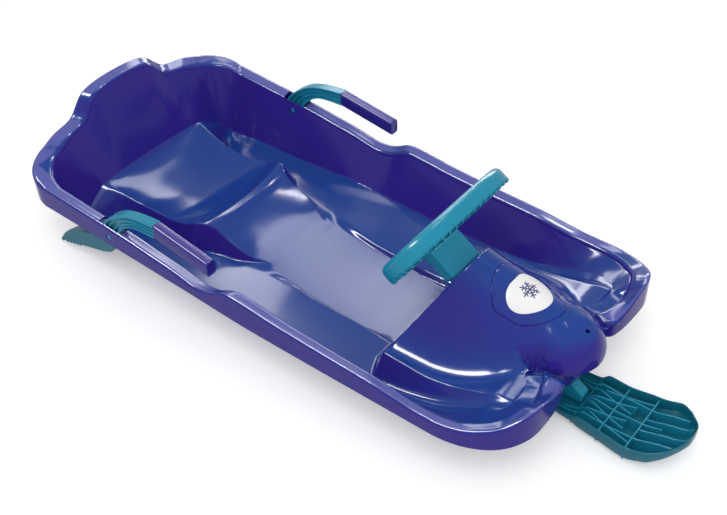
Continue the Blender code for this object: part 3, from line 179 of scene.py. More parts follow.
def rounded_rows(rows: Array, passes: int = 2) -> Array:
    """Round a path of rows by cutting its corners at a quarter and three quarters of each step.

    Args:
        rows: control rows, first index along the path.
        passes: how often the corners are cut.

    Returns:
        The rounder path, which keeps its first and last row.
    """
    for _ in range(passes):
        near = rows[:-1] * 0.75 + rows[1:] * 0.25
        far = rows[:-1] * 0.25 + rows[1:] * 0.75
        inner = np.empty((2 * len(near), *rows.shape[1:]))
        inner[0::2], inner[1::2] = near, far
        rows = np.concatenate((rows[:1], inner[1:-1], rows[-1:]))
    return rows


# Meshes


def grid_quads(rows: int, cols: int, wrap: bool = False, start: int = 0) -> Array:
    """Return the quads of a grid of points that are numbered row by row.

    Args:
        rows: number of rows.
        cols: number of columns.
        wrap: whether the last column joins the first.
        start: number of the first point.

    Returns:
        One row of four point numbers for each quad.
    """
    r = np.arange(rows - 1)[:, None]
    c = np.arange(cols if wrap else cols - 1)[None, :]
    after = (c + 1) % cols
    corners = (r * cols + c, r * cols + after, (r + 1) * cols + after, (r + 1) * cols + c)
    return np.stack(corners, axis=-1).reshape(-1, 4) + start


def build_mesh(name: str, points: Array, quads: Array, caps: Iterable[Array] = (), smooth: float = 40.0,
               outward: bool = True) -> bpy.types.Mesh:
    """Return a mesh of quads and caps, moved to the frame's place.

    Args:
        name: name of the mesh.
        points: points in drawing coordinates.
        quads: point numbers of each quad.
        caps: point numbers of further faces.
        smooth: angle in degrees up to which edges are shaded smooth.
        outward: whether the faces are turned outward here.

    Returns:
        The mesh.
    """
    points = np.asarray(points, dtype=np.float64).reshape(-1, 3) + (0.0, LENGTH_SHIFT, 0.0)
    caps = [np.asarray(cap, dtype=np.int32).ravel() for cap in caps]
    corners = np.concatenate([np.asarray(quads, dtype=np.int32).ravel(), *caps])
    sizes = np.array([4] * len(quads) + [len(cap) for cap in caps], dtype=np.int32)
    mesh = bpy.data.meshes.new(name)
    mesh.vertices.add(len(points))
    mesh.vertices.foreach_set("co", points.astype(np.float32).ravel())
    mesh.loops.add(len(corners))
    mesh.loops.foreach_set("vertex_index", corners)
    mesh.polygons.add(len(sizes))
    mesh.polygons.foreach_set("loop_start", np.concatenate(([0], np.cumsum(sizes)[:-1])).astype(np.int32))
    mesh.update(calc_edges=True)
    mesh.validate()
    if outward:
        work = bmesh.new()
        work.from_mesh(mesh)
        bmesh.ops.remove_doubles(work, verts=work.verts, dist=1e-6)
        bmesh.ops.recalc_face_normals(work, faces=work.faces)
        work.to_mesh(mesh)
        work.free()
    mesh.shade_smooth()
    mesh.set_sharp_from_angle(angle=math.radians(smooth))
    return mesh


def new_object(name: str, data: bpy.types.ID) -> bpy.types.Object:
    """Return a new object of the scene that shows the data."""
    made = bpy.data.objects.new(name, data)
    bpy.context.scene.collection.objects.link(made)
    return made


def add_piece(name: str, mesh: bpy.types.Mesh, body: Body, finish: bpy.types.Material,
              replaces: Sequence[str] = ()) -> bpy.types.Object:
    """Link a finished piece, dress it and put it on its body.

    Args:
        name: the piece's name.
        mesh: its mesh, in place.
        body: the body it moves with.
        finish: its material.
        replaces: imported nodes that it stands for.

    Returns:
        The new object.
    """
    made = new_object(name, mesh)
    made.data.materials.clear()
    made.data.materials.append(finish)
    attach(made, body.value)
    if replaces:
        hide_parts(*replaces)
    LOG.info("%s: %d faces on %s", name, len(mesh.polygons), body.value)
    return made


def loft_mesh(name: str, sections: Array, smooth: float = 40.0) -> bpy.types.Mesh:
    """Return a closed solid through equal closed sections.

    Args:
        name: name of the mesh.
        sections: points as (section, point round it, 3).
        smooth: angle in degrees up to which edges are shaded smooth.

    Returns:
        The mesh with both ends closed.
    """
    rows, cols = sections.shape[:2]
    last = (rows - 1) * cols
    caps = (np.arange(cols)[::-1], np.arange(cols) + last)
    return build_mesh(name, sections, grid_quads(rows, cols, wrap=True), caps, smooth)


def plate_mesh(name: str, outline: Array, centre_x: float, width: float) -> bpy.types.Mesh:
    """Return a plate with an outline in Y and Z and its thickness along X.

    Args:
        name: name of the mesh.
        outline: (y, z) points round the plate.
        centre_x: middle of its thickness.
        width: thickness.

    Returns:
        The mesh.
    """
    outline = np.asarray(outline, dtype=float)
    offsets = np.array((-0.5, 0.5)) * width + centre_x
    sections = np.stack([np.column_stack((np.full(len(outline), x), outline)) for x in offsets])
    return loft_mesh(name, sections, 30.0)


def ring_mesh(name: str, rings: Sequence[Array], poles: Array, downward: bool = False) -> bpy.types.Mesh:
    """Return a closed solid of equal rings whose first and last ring each close on a pole.

    Args:
        name: name of the mesh.
        rings: points of each ring.
        poles: the first and the last pole.
        downward: whether the rings run from the upper pole to the lower one.

    Returns:
        The mesh.
    """
    rings = np.asarray(rings)
    rows, cols = rings.shape[:2]
    count = rows * cols
    k = np.arange(cols)
    pair = (k, (k + 1) % cols)
    caps = []
    for pole, start in ((count, 0), (count + 1, count - cols)):
        near, far = pair if downward == (start == 0) else pair[::-1]
        caps += list(np.column_stack((np.full(cols, pole), near + start, far + start)))
    points = np.concatenate((rings.reshape(-1, 3), poles))
    return build_mesh(name, points, grid_quads(rows, cols, wrap=True), caps, 35.0)


def turned_mesh(name: str, profile: Sequence[tuple[float, float]], place: Matrix,
                segments: int = 48) -> bpy.types.Mesh:
    """Return a solid of revolution: a (radius, height) profile from axis to axis, turned round local Z.

    Args:
        name: name of the mesh.
        profile: radius and height of each ring, the first and last on the axis.
        place: where its local axis stands.
        segments: number of steps round.

    Returns:
        The mesh.
    """
    table = np.asarray(profile, dtype=float)
    turn = np.linspace(0, 2 * np.pi, segments, endpoint=False)
    inner = table[1:-1]
    rings = np.stack((inner[:, :1] * np.cos(turn), inner[:, :1] * np.sin(turn),
                      np.repeat(inner[:, 1:], segments, axis=1)), axis=-1)
    poles = np.array(((0, 0, table[0, 1]), (0, 0, table[-1, 1])))
    spin, shift = np.array(place.to_3x3()).T, np.array(place.translation)
    return ring_mesh(name, rings @ spin + shift, poles @ spin + shift)


def strip_mesh(name: str, lines: Sequence[Array], thickness: float, low: Callable,
               high: Callable) -> bpy.types.Mesh:
    """Return upright walls along straight plan lines as one mesh of closed strips.

    Args:
        name: name of the mesh.
        lines: plan points of each wall.
        thickness: thickness of the walls.
        low: height of the lower edge as a function of plan x and y.
        high: height of the upper edge as a function of plan x and y.

    Returns:
        The mesh.
    """
    points, quads, caps, start = [], [], [], 0
    for line in lines:
        line = np.asarray(line, dtype=float)
        run = line[-1] - line[0]
        side = np.array((-run[1], run[0])) / np.hypot(*run) * thickness / 2
        a, b = line - side, line + side
        section = np.stack((np.column_stack((a, low(*a.T))), np.column_stack((b, low(*b.T))),
                            np.column_stack((b, high(*b.T))), np.column_stack((a, high(*a.T)))), axis=1)
        points.append(section.reshape(-1, 3))
        quads.append(grid_quads(len(line), 4, wrap=True, start=start))
        last = start + (len(line) - 1) * 4
        caps += [np.arange(4)[::-1] + start, np.arange(4) + last]
        start += len(line) * 4
    return build_mesh(name, np.concatenate(points), np.concatenate(quads), caps, 30.0)


def add_bevel(piece: bpy.types.Object, width: float, segments: int = 3, angle: float = 35.0) -> None:
    """Round a piece's sharp edges.

    Args:
        piece: the object.
        width: width of the round.
        segments: steps across it.
        angle: edges sharper than this many degrees are rounded.
    """
    step = piece.modifiers.new("round_edges", "BEVEL")
    step.width = width
    step.segments = segments
    step.limit_method = "ANGLE"
    step.angle_limit = math.radians(angle)
    step.harden_normals = True


def apply_cuts(name: str, mesh: bpy.types.Mesh, cutters: Sequence[bpy.types.Mesh],
               smooth: float = 35.0) -> bpy.types.Mesh:
    """Cut meshes out of a mesh with exact Booleans.

    Args:
        name: name of the result.
        mesh: the mesh to cut.
        cutters: closed meshes that are taken away.
        smooth: angle in degrees up to which edges are shaded smooth.

    Returns:
        The cut mesh.
    """
    host = new_object(name, mesh)
    tools = []
    for number, cutter in enumerate(cutters):
        tool = new_object("%s_cutter_%d" % (name, number), cutter)
        step = host.modifiers.new("cut", "BOOLEAN")
        step.operation = "DIFFERENCE"
        step.object = tool
        step.solver = "EXACT"
        tools.append(tool)
    bpy.context.view_layer.update()
    graph = bpy.context.evaluated_depsgraph_get()
    made = bpy.data.meshes.new_from_object(host.evaluated_get(graph))
    made.name = name
    for item in (host, *tools):
        bpy.data.objects.remove(item, do_unlink=True)
    made.shade_smooth()
    made.set_sharp_from_angle(angle=math.radians(smooth))
    return made


def rectangle(width: float, height: float, middle: float = 0.0) -> Array:
    """Return the corners of an upright rectangle as (x, rise) points, its centre at the given rise."""
    x, half = width / 2, height / 2
    return np.array(((-x, middle - half), (x, middle - half), (x, middle + half), (-x, middle + half)))


def stand(x: Sequence[float], y: Sequence[float], z: Sequence[float], at: Sequence[float]) -> Matrix:
    """Return the place with the given axes and origin."""
    place = Matrix((x, y, z)).transposed().to_4x4()
    place.translation = at
    return place


def cross_place(x: float, y: float, z: float) -> Matrix:
    """Return the place of a turned piece whose axis runs across the sled."""
    place = Matrix.Rotation(math.pi / 2, 4, "Y")
    place.translation = (x, y, z)
    return place


def axis_place(along: float) -> Matrix:
    """Return the place of a turned piece that stands on the steering axis."""
    return stand((1, 0, 0), (0, -AXIS_SIN, AXIS_COS), (0, -AXIS_COS, -AXIS_SIN), on_axis(along, 0.0, 0.0))


def on_axis(along: Array | float, rise: Array | float, x: Array | float) -> Array:
    """Return points given along the steering axis (downward), above it, and across it."""
    along, rise, x = np.broadcast_arrays(along, rise, x)
    y = AXIS_Y - AXIS_COS * along - AXIS_SIN * rise
    z = AXIS_Z - AXIS_SIN * along + AXIS_COS * rise
    return np.stack((x, y, z), axis=-1)


# The tub's upper surface as a height over the ground plan


@dataclass(frozen=True)
class TubForm:
    """Sizes of the tub and the height of its upper surface."""

    half_width: float = 0.255
    front_half_width: float = 0.244
    rear: float = 0.593
    rear_bow: float = 0.021
    rear_corner: float = 0.062
    flange: float = 0.0265
    wall_run: float = 0.0375
    lobe: tuple[float, float, float] = (0.150, -0.310, 0.128)
    lobe_inner_x: float = 0.092
    notch: tuple[float, float] = (0.064, -0.384)
    floor: float = 0.010
    floor_half_width: float = 0.079
    seat_lip: tuple[float, float] = (0.283, 0.068)
    crest: tuple[float, float, float] = (0.153, -0.158, 0.076)
    dash_slope: float = 1.925
    bonnet: tuple[float, float, float] = (0.204, 0.261, -0.250)
    nose_wide_height: float = 0.112
    row_x: float = 0.110
    scoop: tuple[float, float, float] = (0.0690, -0.340, 0.011)

    def base_height(self, x: Array, y: Array) -> Array:
        """Return the floor, the riser beside it and the gutter that rises to the wall foot.

        The height runs from the floor's to the gutter's on a smooth step between the floor's edge
        and the ledge, and the gutter falls inward from the wall foot at a slope that fades at the seat.
        """
        foot = smooth_curve(((-0.44, 0.118), (-0.387, 0.111), (-0.36, 0.102), (-0.33, 0.086), (-0.27, 0.060),
                             (-0.20, 0.045), (-0.125, 0.037), (-0.007, 0.034), (0.165, 0.039), (0.319, 0.031),
                             (0.428, 0.028), (0.486, 0.021), (0.60, 0.020)), y)
        slope = smooth_curve(((-0.385, 0.03), (-0.32, 0.10), (-0.22, 0.15), (-0.05, 0.15), (0.047, 0.14),
                              (0.09, 0.11), (0.13, 0.10), (0.20, 0.10), (0.30, 0.04)), y)
        gutter = foot - slope * (self.half_width - self.flange - self.wall_run - 0.001 - np.abs(x))
        floor = smooth_curve(((-0.10, self.floor + 0.002), (-0.05, self.floor), (0.0, self.floor + 0.0005),
                              (0.047, self.floor + 0.0042), (0.09, 0.020), (0.13, 0.0262), (0.162, 0.031),
                              (0.30, 0.029)), y)
        ledge = smooth_curve(((-0.10, 0.086), (0.047, 0.088), (0.13, 0.097), (0.16, 0.106), (0.20, 0.125)), y)
        return floor + (gutter - floor) * smooth_step(np.abs(x), self.floor_half_width, ledge)

    def seat_height(self, x: Array, y: Array) -> Array:
        """Return the dished seat, its raised side edges and the slope in front of its lip.

        Across the seat the height rises from the middle to the edge with the share of the half width
        to the power 2.5, and beyond the edge it falls at a fixed slope.
        """
        middle = smooth_curve(((0.10, -0.02), (0.13, 0.012), (0.162, 0.031), (0.215, 0.043), (0.262, 0.058),
                               self.seat_lip, (0.33, 0.048), (0.38, 0.037), (0.42, 0.036), (0.47, 0.042),
                               (0.52, 0.060), (0.555, 0.100), (0.61, 0.220)), y)
        edge = smooth_curve(((0.10, -0.02), (0.13, 0.012), (0.162, 0.031), (0.189, 0.039), (0.215, 0.050),
                             (0.243, 0.060), (0.262, 0.070), (0.286, 0.082), (0.30, 0.079), (0.33, 0.064),
                             (0.379, 0.053), (0.436, 0.053), (0.491, 0.061), (0.520, 0.067), (0.537, 0.072),
                             (0.61, 0.190)), y)
        half = smooth_curve(((0.10, 0.070), (0.162, 0.077), (0.189, 0.087), (0.215, 0.093), (0.243, 0.0935),
                             (0.262, 0.0945), (0.270, 0.097), (0.279, 0.103), (0.288, 0.109), (0.30, 0.1125),
                             (0.33, 0.114), (0.379, 0.112), (0.436, 0.114), (0.491, 0.120), (0.537, 0.129),
                             (0.61, 0.140)), y)
        across = np.abs(x) / half
        inside = middle + (edge - middle) * np.minimum(across, 1.0) ** 2.5
        steep = smooth_curve(((0.44, 2.0), (0.52, 0.6)), y)
        return smooth_min(inside, edge - steep * (np.abs(x) - half), 0.004)

    def nose_height(self, x: Array, y: Array) -> Array:
        """Return the half-round bonnet that ends in the blunt nose.

        The height over the widest line is the bonnet's top times one minus the squared side share,
        to the power 0.55. Ahead of the notch the side share is measured round the nose's centre.
        """
        top = self.bonnet[0] + self.bonnet[1] * (y - self.bonnet[2])
        ahead = np.maximum(self.notch[1] - y, 0.0)
        reach = np.hypot(x, ahead)
        front = (ahead / np.maximum(reach, 1e-9)) ** 2
        depth = self.notch[0] * (1 - front) + 0.022 * front
        side = np.clip(1 - (self.notch[0] - reach) / depth, 0.0, 1.0)
        rise = (1 - side**2) ** 0.55
        beyond = np.maximum(reach - self.notch[0], 0.0)
        return self.nose_wide_height + (top - self.nose_wide_height) * rise - 2.0 * beyond

    def console_height(self, x: Array, y: Array) -> Array:
        """Return the dashboard face, the bonnet with its shoulders, and the console's side faces.

        Across the bonnet the height falls from its top to the platform's edge height as half a
        cosine wave over the bell's reach. Towards the notch this eases over to the nose. The
        bonnet is cut down by the dashboard plane and by the steep flanks at its sides.
        """
        top = self.bonnet[0] + self.bonnet[1] * (y - self.bonnet[2])
        dash = self.crest[2] + self.dash_slope * (self.crest[1] - y)
        edge = smooth_curve(((-0.44, 0.124), (-0.375, 0.115), (-0.334, 0.100), (-0.272, 0.081),
                             (-0.233, self.crest[2]), (-0.158, self.crest[2])), y)
        half = smooth_curve(CONSOLE_HALF, y)
        reach = smooth_curve(((-0.44, 0.075), (-0.384, 0.085), (-0.365, 0.098), (-0.34, 0.120),
                              (-0.31, 0.140), (-0.27, 0.150), (-0.228, self.crest[0])), y)
        bell = 0.5 + 0.5 * np.cos(np.pi * np.clip(np.abs(x) / reach, 0.0, 1.0))
        shoulder = edge + (top - edge) * bell
        platform = edge - 0.004 - 2.0 * np.maximum(self.notch[1] - y, 0.0)
        front = smooth_max(self.nose_height(x, y), platform, 0.004)
        bonnet = shoulder + (front - shoulder) * smooth_step(self.notch[1] + 0.034 - y, 0.0, 0.034)
        fade = np.clip((-0.16 - y) / 0.20, 0.0, 1.0)
        flank = np.minimum(edge, dash) + (1.5 - 0.6 * fade) * (half - np.abs(x))
        return smooth_min(smooth_min(bonnet, dash, 0.006), flank, 0.0018) - self.scoop_depth(x, y)

    def scoop_depth(self, x: Array, y: Array) -> Array:
        """Return the depth of the leaf-shaped scoop between the nose and the lobe.

        The depth and the width grow from the scoop's tip towards the notch. Across, the depth is
        the square of a cosine.
        """
        along = np.clip((self.scoop[1] - y) / 0.045, 0.0, 1.0)
        half = 0.0035 + 0.0085 * along
        across = np.clip(np.abs(np.abs(x) - self.scoop[0]) / half, 0.0, 1.0)
        return self.scoop[2] * along**0.7 * np.cos(across * np.pi / 2) ** 2

    def height(self, x: Array | float, y: Array | float) -> Array:
        """Return the height of the tub's upper surface inside its rim."""
        x, y = np.asarray(x, dtype=float), np.asarray(y, dtype=float)
        soft = smooth_curve(((0.30, 0.004), (0.44, 0.008), (0.52, 0.014)), y)
        tub = smooth_max(self.base_height(x, y), self.seat_height(x, y), soft)
        return smooth_max(tub, self.console_height(x, y), smooth_curve(((-0.36, 0.013), (-0.20, 0.008)), y))

    def follow_ridges(self, x: Array, y: Array, foot_x: float) -> Array:
        """Return x moved so that rows of points run along the tub's ridges.

        Rows at a set x are moved out or in to the ridge at their y, and the rows on either side are
        spread evenly up to the middle plane and up to the wall foot.

        Args:
            x: positions across, from 0 to the wall foot.
            y: positions along.
            foot_x: half width at the wall foot.

        Returns:
            The moved positions across.
        """
        ridge = smooth_curve((*CONSOLE_HALF, (-0.06, 0.079), (0.162, 0.079), (0.189, 0.087), (0.215, 0.093),
                              (0.262, 0.0945), (0.279, 0.103), (0.30, 0.1125), (0.379, 0.112), (0.436, 0.114),
                              (0.491, 0.120), (0.537, 0.129)), y)
        share = smooth_curve(((-0.385, 0.0), (-0.34, 1.0), (0.46, 1.0), (0.51, 0.0)), y)
        ridge = self.row_x + (ridge - self.row_x) * share
        curl = np.clip((-0.290 - y) / 0.097, 0.0, 1.0)
        wall = np.where(y < -0.290, 0.140 + (foot_x - 0.140) * np.sqrt(1 - curl * curl), foot_x)
        inner = x * ridge / self.row_x
        outer = ridge + (x - self.row_x) * (wall - ridge) / np.maximum(wall - self.row_x, 1e-6)
        return np.where(x < self.row_x, inner, np.where(x < wall, outer, x))

    def ring(self, s: Array, side_rear: float, side_front: float, rear: float, bow: float, corner: float,
             corner_y: float, lobe: tuple[float, float, float], notch: Sequence[tuple[float, float]],
             nose_radius: float) -> Array:
        """Return one half ring of plan points.

        A station runs 0-1 along the rear, 1-2 round the rear corner, 2-3 along the side, 3-4 round
        the lobe, 4-5 across its front, 5-6 into the notch and 6-7 round the nose. The corner and the
        lobe are quarter ellipses, the sides are straight and the nose is a quarter circle.

        Args:
            s: stations.
            side_rear: half width at the rear.
            side_front: half width at the front.
            rear: y of the rear edge at the start of the corner.
            bow: how much further back the rear edge is at x = 0.
            corner: radius of the rear corner.
            corner_y: y of the corner's centre.
            lobe: centre x, centre y and length of the front corner.
            notch: plan points at stations 5, 5.33, 5.67 and 6.
            nose_radius: radius of the ring round the nose.

        Returns:
            One plan point for each station.
        """
        corner_x = side_rear - corner
        turn = (s - np.floor(np.minimum(s, 6.0))) * np.pi / 2
        share = s - np.floor(np.minimum(s, 6.0))
        front = lobe[1] - lobe[2]
        knots = np.linspace(5, 6, 4)
        into_x = smooth_curve([(k, p[0]) for k, p in zip(knots, notch)], s)
        into_y = smooth_curve([(k, p[1]) for k, p in zip(knots, notch)], s)
        where = [s < 1, s < 2, s < 3, s < 4, s < 5, s < 6]
        x = np.select(where, [corner_x * share, corner_x + corner * np.sin(turn),
                              side_rear + (side_front - side_rear) * share,
                              lobe[0] + (side_front - lobe[0]) * np.cos(turn),
                              lobe[0] + (notch[0][0] - lobe[0]) * share, into_x],
                      nose_radius * np.cos((s - 6) * np.pi / 2))
        y = np.select(where, [rear + bow * (1 - share**2), corner_y + (rear - corner_y) * np.cos(turn),
                              corner_y + (lobe[1] - corner_y) * share, lobe[1] - lobe[2] * np.sin(turn),
                              front + (notch[0][1] - front) * share**2, into_y],
                      self.notch[1] - nose_radius * np.sin((s - 6) * np.pi / 2))
        return np.column_stack((x, y))


@dataclass
class TubShell:
    """The moulded tub: rim, walls, seat, footwell, console and nose in one surface."""

    form: TubForm = field(default_factory=TubForm)
    steps: tuple[int, ...] = (40, 26, 170, 42, 16, 18, 30)
    inner_rows: int = 66
    roll: float = 0.007
    underside: float = 0.0045

    def stations(self) -> Array:
        """Return the stations round one half, with more of them across the console."""
        parts = [np.linspace(k, k + 1, n, endpoint=False) for k, n in enumerate(self.steps)]
        side = np.linspace(0, 1, self.steps[2], endpoint=False)
        parts[2] = 2 + np.interp(side, (0, 0.30, 0.52, 0.64, 1), (0, 0.35, 0.56, 0.70, 1))
        return np.concatenate((*parts, [7.0]))

    def half_rows(self, s: Array) -> Array:
        """Return the rows of points of one half of the upper surface, from skirt to middle plane.

        Each row is a ring of plan points between the outer edge, the inner edge and the wall foot,
        with the rim's heights as curves of the station. Inside the foot, the rows close in on the
        middle plane and take their height from the tub's form.

        Args:
            s: stations.

        Returns:
            Points as (row, station, 3).
        """
        f = self.form
        foot_x = f.half_width - f.flange - f.wall_run - 0.001
        outer = f.ring(s, f.half_width, f.front_half_width, f.rear, f.rear_bow, f.rear_corner,
                       f.rear - f.rear_corner, f.lobe,
                       ((f.lobe_inner_x, -0.433), (0.075, -0.428), (0.066, -0.414), f.notch), f.notch[0])
        inner = f.ring(s, f.half_width - f.flange, f.front_half_width - f.flange + 0.006, f.rear - f.flange,
                       f.rear_bow, f.rear_corner, f.rear - f.flange - f.rear_corner,
                       (f.lobe[0] - 0.005, f.lobe[1] + 0.010, f.lobe[2] - 0.018),
                       ((f.lobe_inner_x + 0.010, -0.405), (0.0865, -0.400), (0.0755, -0.391),
                        (f.notch[0] - 0.007, f.notch[1])),
                       f.notch[0] - 0.007)
        foot = f.ring(s, foot_x, foot_x, f.rear - f.flange - f.wall_run, 0.005, 0.030, 0.500,
                      (f.lobe[0] - 0.010, -0.290, f.lobe[2] - 0.031),
                      ((f.lobe_inner_x + 0.016, -0.385), (0.094, -0.378), (0.078, -0.372),
                       (f.notch[0] - 0.021, f.notch[1])),
                      f.notch[0] - 0.021)
        rim = smooth_curve(((0, 0.2265), (0.13, 0.2260), (0.25, 0.2244), (0.337, 0.2220), (0.409, 0.2170),
                            (0.456, 0.2105), (0.525, 0.1970), (0.566, 0.1893), (0.622, 0.1835),
                            (0.681, 0.1808), (0.743, 0.1800), (0.829, 0.1788), (0.912, 0.1757), (1, 0.1708),
                            (2, 0.143), (2.10, 0.138), (2.233, 0.131), (2.322, 0.1228), (2.352, 0.1205),
                            (2.381, 0.1170), (2.410, 0.1124), (2.439, 0.1091), (2.453, 0.1098),
                            (2.467, 0.1116), (2.481, 0.1147), (2.4955, 0.1200), (2.509, 0.1264),
                            (2.523, 0.1319), (2.537, 0.1343), (2.55, 0.1338), (2.604, 0.1305),
                            (2.631, 0.1280), (2.77, 0.123), (2.861, 0.121), (2.977, 0.114), (3.25, 0.119),
                            (3.53, 0.132), (3.89, 0.153), (4.1, 0.150), (5, 0.125), (5.33, 0.119),
                            (5.67, 0.117), (6, 0.118), (6.2, f.nose_wide_height), (7, f.nose_wide_height)), s)
        rim_inside = rim - smooth_curve(((0, 0.005), (3.3, 0.006), (3.53, 0.010), (3.89, 0.019), (4.1, 0.026),
                                         (5, 0.005), (5.4, -0.003), (6, -0.008), (7, 0)), s)
        skirt = smooth_curve(((0, 0.150), (1, 0.108), (2, 0.098), (2.4, 0.087), (2.6, 0.080), (3, 0.084),
                              (3.5, 0.088), (4, 0.097), (5, 0.092), (6, 0.090), (6.15, 0.080), (7, 0.057)), s)
        spine = smooth_curve(((0, 0.515), (1, 0.470), (2, 0.430), (2.127, 0.375), (2.27, 0.287),
                              (2.671, -0.030), (2.76, -0.140), (2.833, -0.228), (2.911, -0.246), (3, -0.262),
                              (4, -0.278), (5, -0.292), (6, -0.325), (7, -0.405)), s)
        on_nose = s > 6.0
        nearly = smooth_step(s, 5.5, 6.0)
        turn = np.clip(s - 6, 0, 1) * np.pi / 2
        tuck = np.where(on_nose, 0.003 + 0.026 * np.sin(turn) ** 2, 0.0)[:, None]
        radial = np.stack((np.cos(turn), -np.sin(turn)), axis=1)
        controls = []

        def add(plan: Array, height: Array) -> None:
            """Add one control row."""
            controls.append(np.column_stack((plan, height)))

        for share in (0.0, 0.2, 0.5, 0.8):
            add(outer - radial * tuck * (1 - share) ** 0.9, skirt + (rim - skirt) * share)
        add(outer, rim - np.where(on_nose, 0.003, self.roll))
        for share, fall in ((0.0, 0.80), (0.010, 0.58), (0.04, 0.36), (0.085, 0.21), (0.165, 0.04),
                            (0.22, -0.02), (0.34, -0.015), (0.5, 0.0), (0.66, -0.015), (0.74, -0.02),
                            (0.80, 0.02), (0.90, 0.145), (0.955, 0.30), (0.99, 0.55), (1.0, 0.80)):
            plan = outer + (inner - outer) * share
            height = rim + (rim_inside - rim) * share - self.roll * fall
            add(plan, height + (f.nose_height(*plan.T) - height) * nearly)
        foot_height = f.height(*foot.T)
        for share in (0.05, 0.20, 0.40, 0.60, 0.80, 0.92, 1.0):
            plan = inner + (foot - inner) * share
            height = rim_inside - 0.005 + (foot_height - rim_inside + 0.005) * share
            add(plan, height + (f.nose_height(*plan.T) - height) * nearly)

        def inward(share: float) -> Array:
            """Return a row between the wall foot and the middle plane."""
            x = foot[:, 0] * (1 - share)
            late = 0.195 * foot[:, 0] / foot[:, 0].max() * np.clip(4 - s, 0.0, 1.0)
            along = np.clip((share - late) / (1 - late), 0.0, 1.0)
            y = foot[:, 1] + (spine - foot[:, 1]) * along
            x = f.follow_ridges(x, y, foot_x)
            return np.column_stack((x, y, f.height(x, y)))

        controls += [inward(share) for share in (0.012, 0.028)]
        wall = rounded_rows(np.stack(controls), 1)
        spread = np.linspace(0, 1, self.inner_rows)
        shares = np.interp(spread, (0, 0.30, 0.38, 0.56, 0.66, 1), (0.045, 0.33, 0.38, 0.455, 0.51, 1))
        inside = np.stack([inward(share) for share in shares])
        rows = np.concatenate((wall, inside))
        rows[:, 0, 0] = 0.0
        rows[:, -1, 0] = 0.0
        return rows

    def sheet(self) -> tuple[Array, Array]:
        """Return the whole upper surface: its points as (row, column round the tub, 3), and its quads."""
        half = self.half_rows(self.stations())
        other = half[:, -2:0:-1] * (-1.0, 1.0, 1.0)
        rows = np.concatenate((half, other), axis=1)
        return rows, self.sheet_quads(*rows.shape[:2])

    @staticmethod
    def sheet_quads(rows: int, cols: int, start: int = 0) -> Array:
        """Return the quads of a ring grid whose last row is folded on the middle plane."""
        quads = grid_quads(rows, cols, wrap=True)
        last = (rows - 1) * cols
        column = quads - last
        half = cols // 2
        folded = np.where((quads >= last) & (column > half), last + cols - column, quads)
        return folded + start

    def mesh(self) -> bpy.types.Mesh:
        """Return the closed shell: the upper surface and a plainer one a wall's thickness below it."""
        rows, quads = self.sheet()
        count, cols = rows.shape[:2]
        upper = build_mesh("tub_upper", rows, quads[:, ::-1], outward=False)
        normals = np.empty(len(upper.vertices) * 3, dtype=np.float32)
        upper.vertices.foreach_get("normal", normals)
        normals = normals.reshape(rows.shape).astype(float)
        if normals[count // 2, 0, 2] < 0:
            normals = -normals
        fold = np.arange(cols)
        fold = np.where(fold > cols // 2, cols - fold, fold)
        normals[-1] = normals[-1][fold]
        normals[-1, :, 0] = 0.0
        normals[-1] /= np.linalg.norm(normals[-1], axis=-1, keepdims=True)
        wall = count - self.inner_rows
        kept = np.concatenate((np.arange(0, wall, 2), np.arange(wall, count - 3, 5), [count - 1]))
        lower = rows[kept] - normals[kept] * SHELL
        lower[..., 2] = np.maximum(lower[..., 2], self.underside)
        lower[-1, :, 0] = 0.0
        start = count * cols
        under = self.sheet_quads(len(kept), cols, start)[:, ::-1]
        k = np.arange(cols)
        after = (k + 1) % cols
        edge = np.column_stack((k, start + k, start + after, after))
        points = np.concatenate((rows.reshape(-1, 3), lower.reshape(-1, 3)))
        bpy.data.meshes.remove(upper)
        return build_mesh("tub_shell", points, np.concatenate((quads, under, edge)), smooth=35.0)


@dataclass
class Openings:
    """The tub's lever slots, pivot holes, tow eyelet and shaft hole."""

    slot: tuple[float, float, float, float] = (0.2291, 0.2481, 0.3317, 0.3873)
    slot_corner: float = 0.004
    slot_levels: tuple[float, float] = (0.1215, 0.185)
    pivot_radius: float = 0.0063
    eyelet: tuple[float, float, float] = (-0.419, 0.151, 0.0036)
    shaft_radius: float = 0.0110

    def rod(self, name: str, radius: float, length: float, place: Matrix) -> bpy.types.Mesh:
        """Return a round cutter that stands on its place."""
        profile = ((0.0, 0.0), (radius, 0.0), (radius, length / 2), (radius, length), (0.0, length))
        return turned_mesh(name, profile, place, 40)

    def cutters(self) -> list[bpy.types.Mesh]:
        """Return the cutters of both sides and of the middle."""
        made = []
        x0, x1, y0, y1 = self.slot
        arc = np.linspace(0, 2 * np.pi, 25)[:-1]
        corner = self.slot_corner
        reach_x, reach_y = (x1 - x0) / 2 - corner, (y1 - y0) / 2 - corner
        for side in Side:
            middle_x, middle_y = side.value * (x0 + x1) / 2, (y0 + y1) / 2
            ring = np.column_stack((middle_x + np.sign(np.cos(arc + 1e-6)) * reach_x + corner * np.cos(arc),
                                    middle_y + np.sign(np.sin(arc + 1e-6)) * reach_y + corner * np.sin(arc)))
            levels = [np.column_stack((ring, np.full(len(ring), z))) for z in self.slot_levels]
            made.append(loft_mesh("slot_cutter", np.stack(levels)))
            place = cross_place(side.value * BRAKE_X - 0.030, PIVOT_Y, PIVOT_Z)
            made.append(self.rod("pivot_cutter", self.pivot_radius, 0.060, place))
        place = Matrix.Translation((0.0, self.eyelet[0], self.eyelet[1] - 0.020))
        made.append(self.rod("eyelet_cutter", self.eyelet[2], 0.045, place))
        made.append(self.rod("shaft_cutter", self.shaft_radius, 0.028, axis_place(0.0160)))
        return made


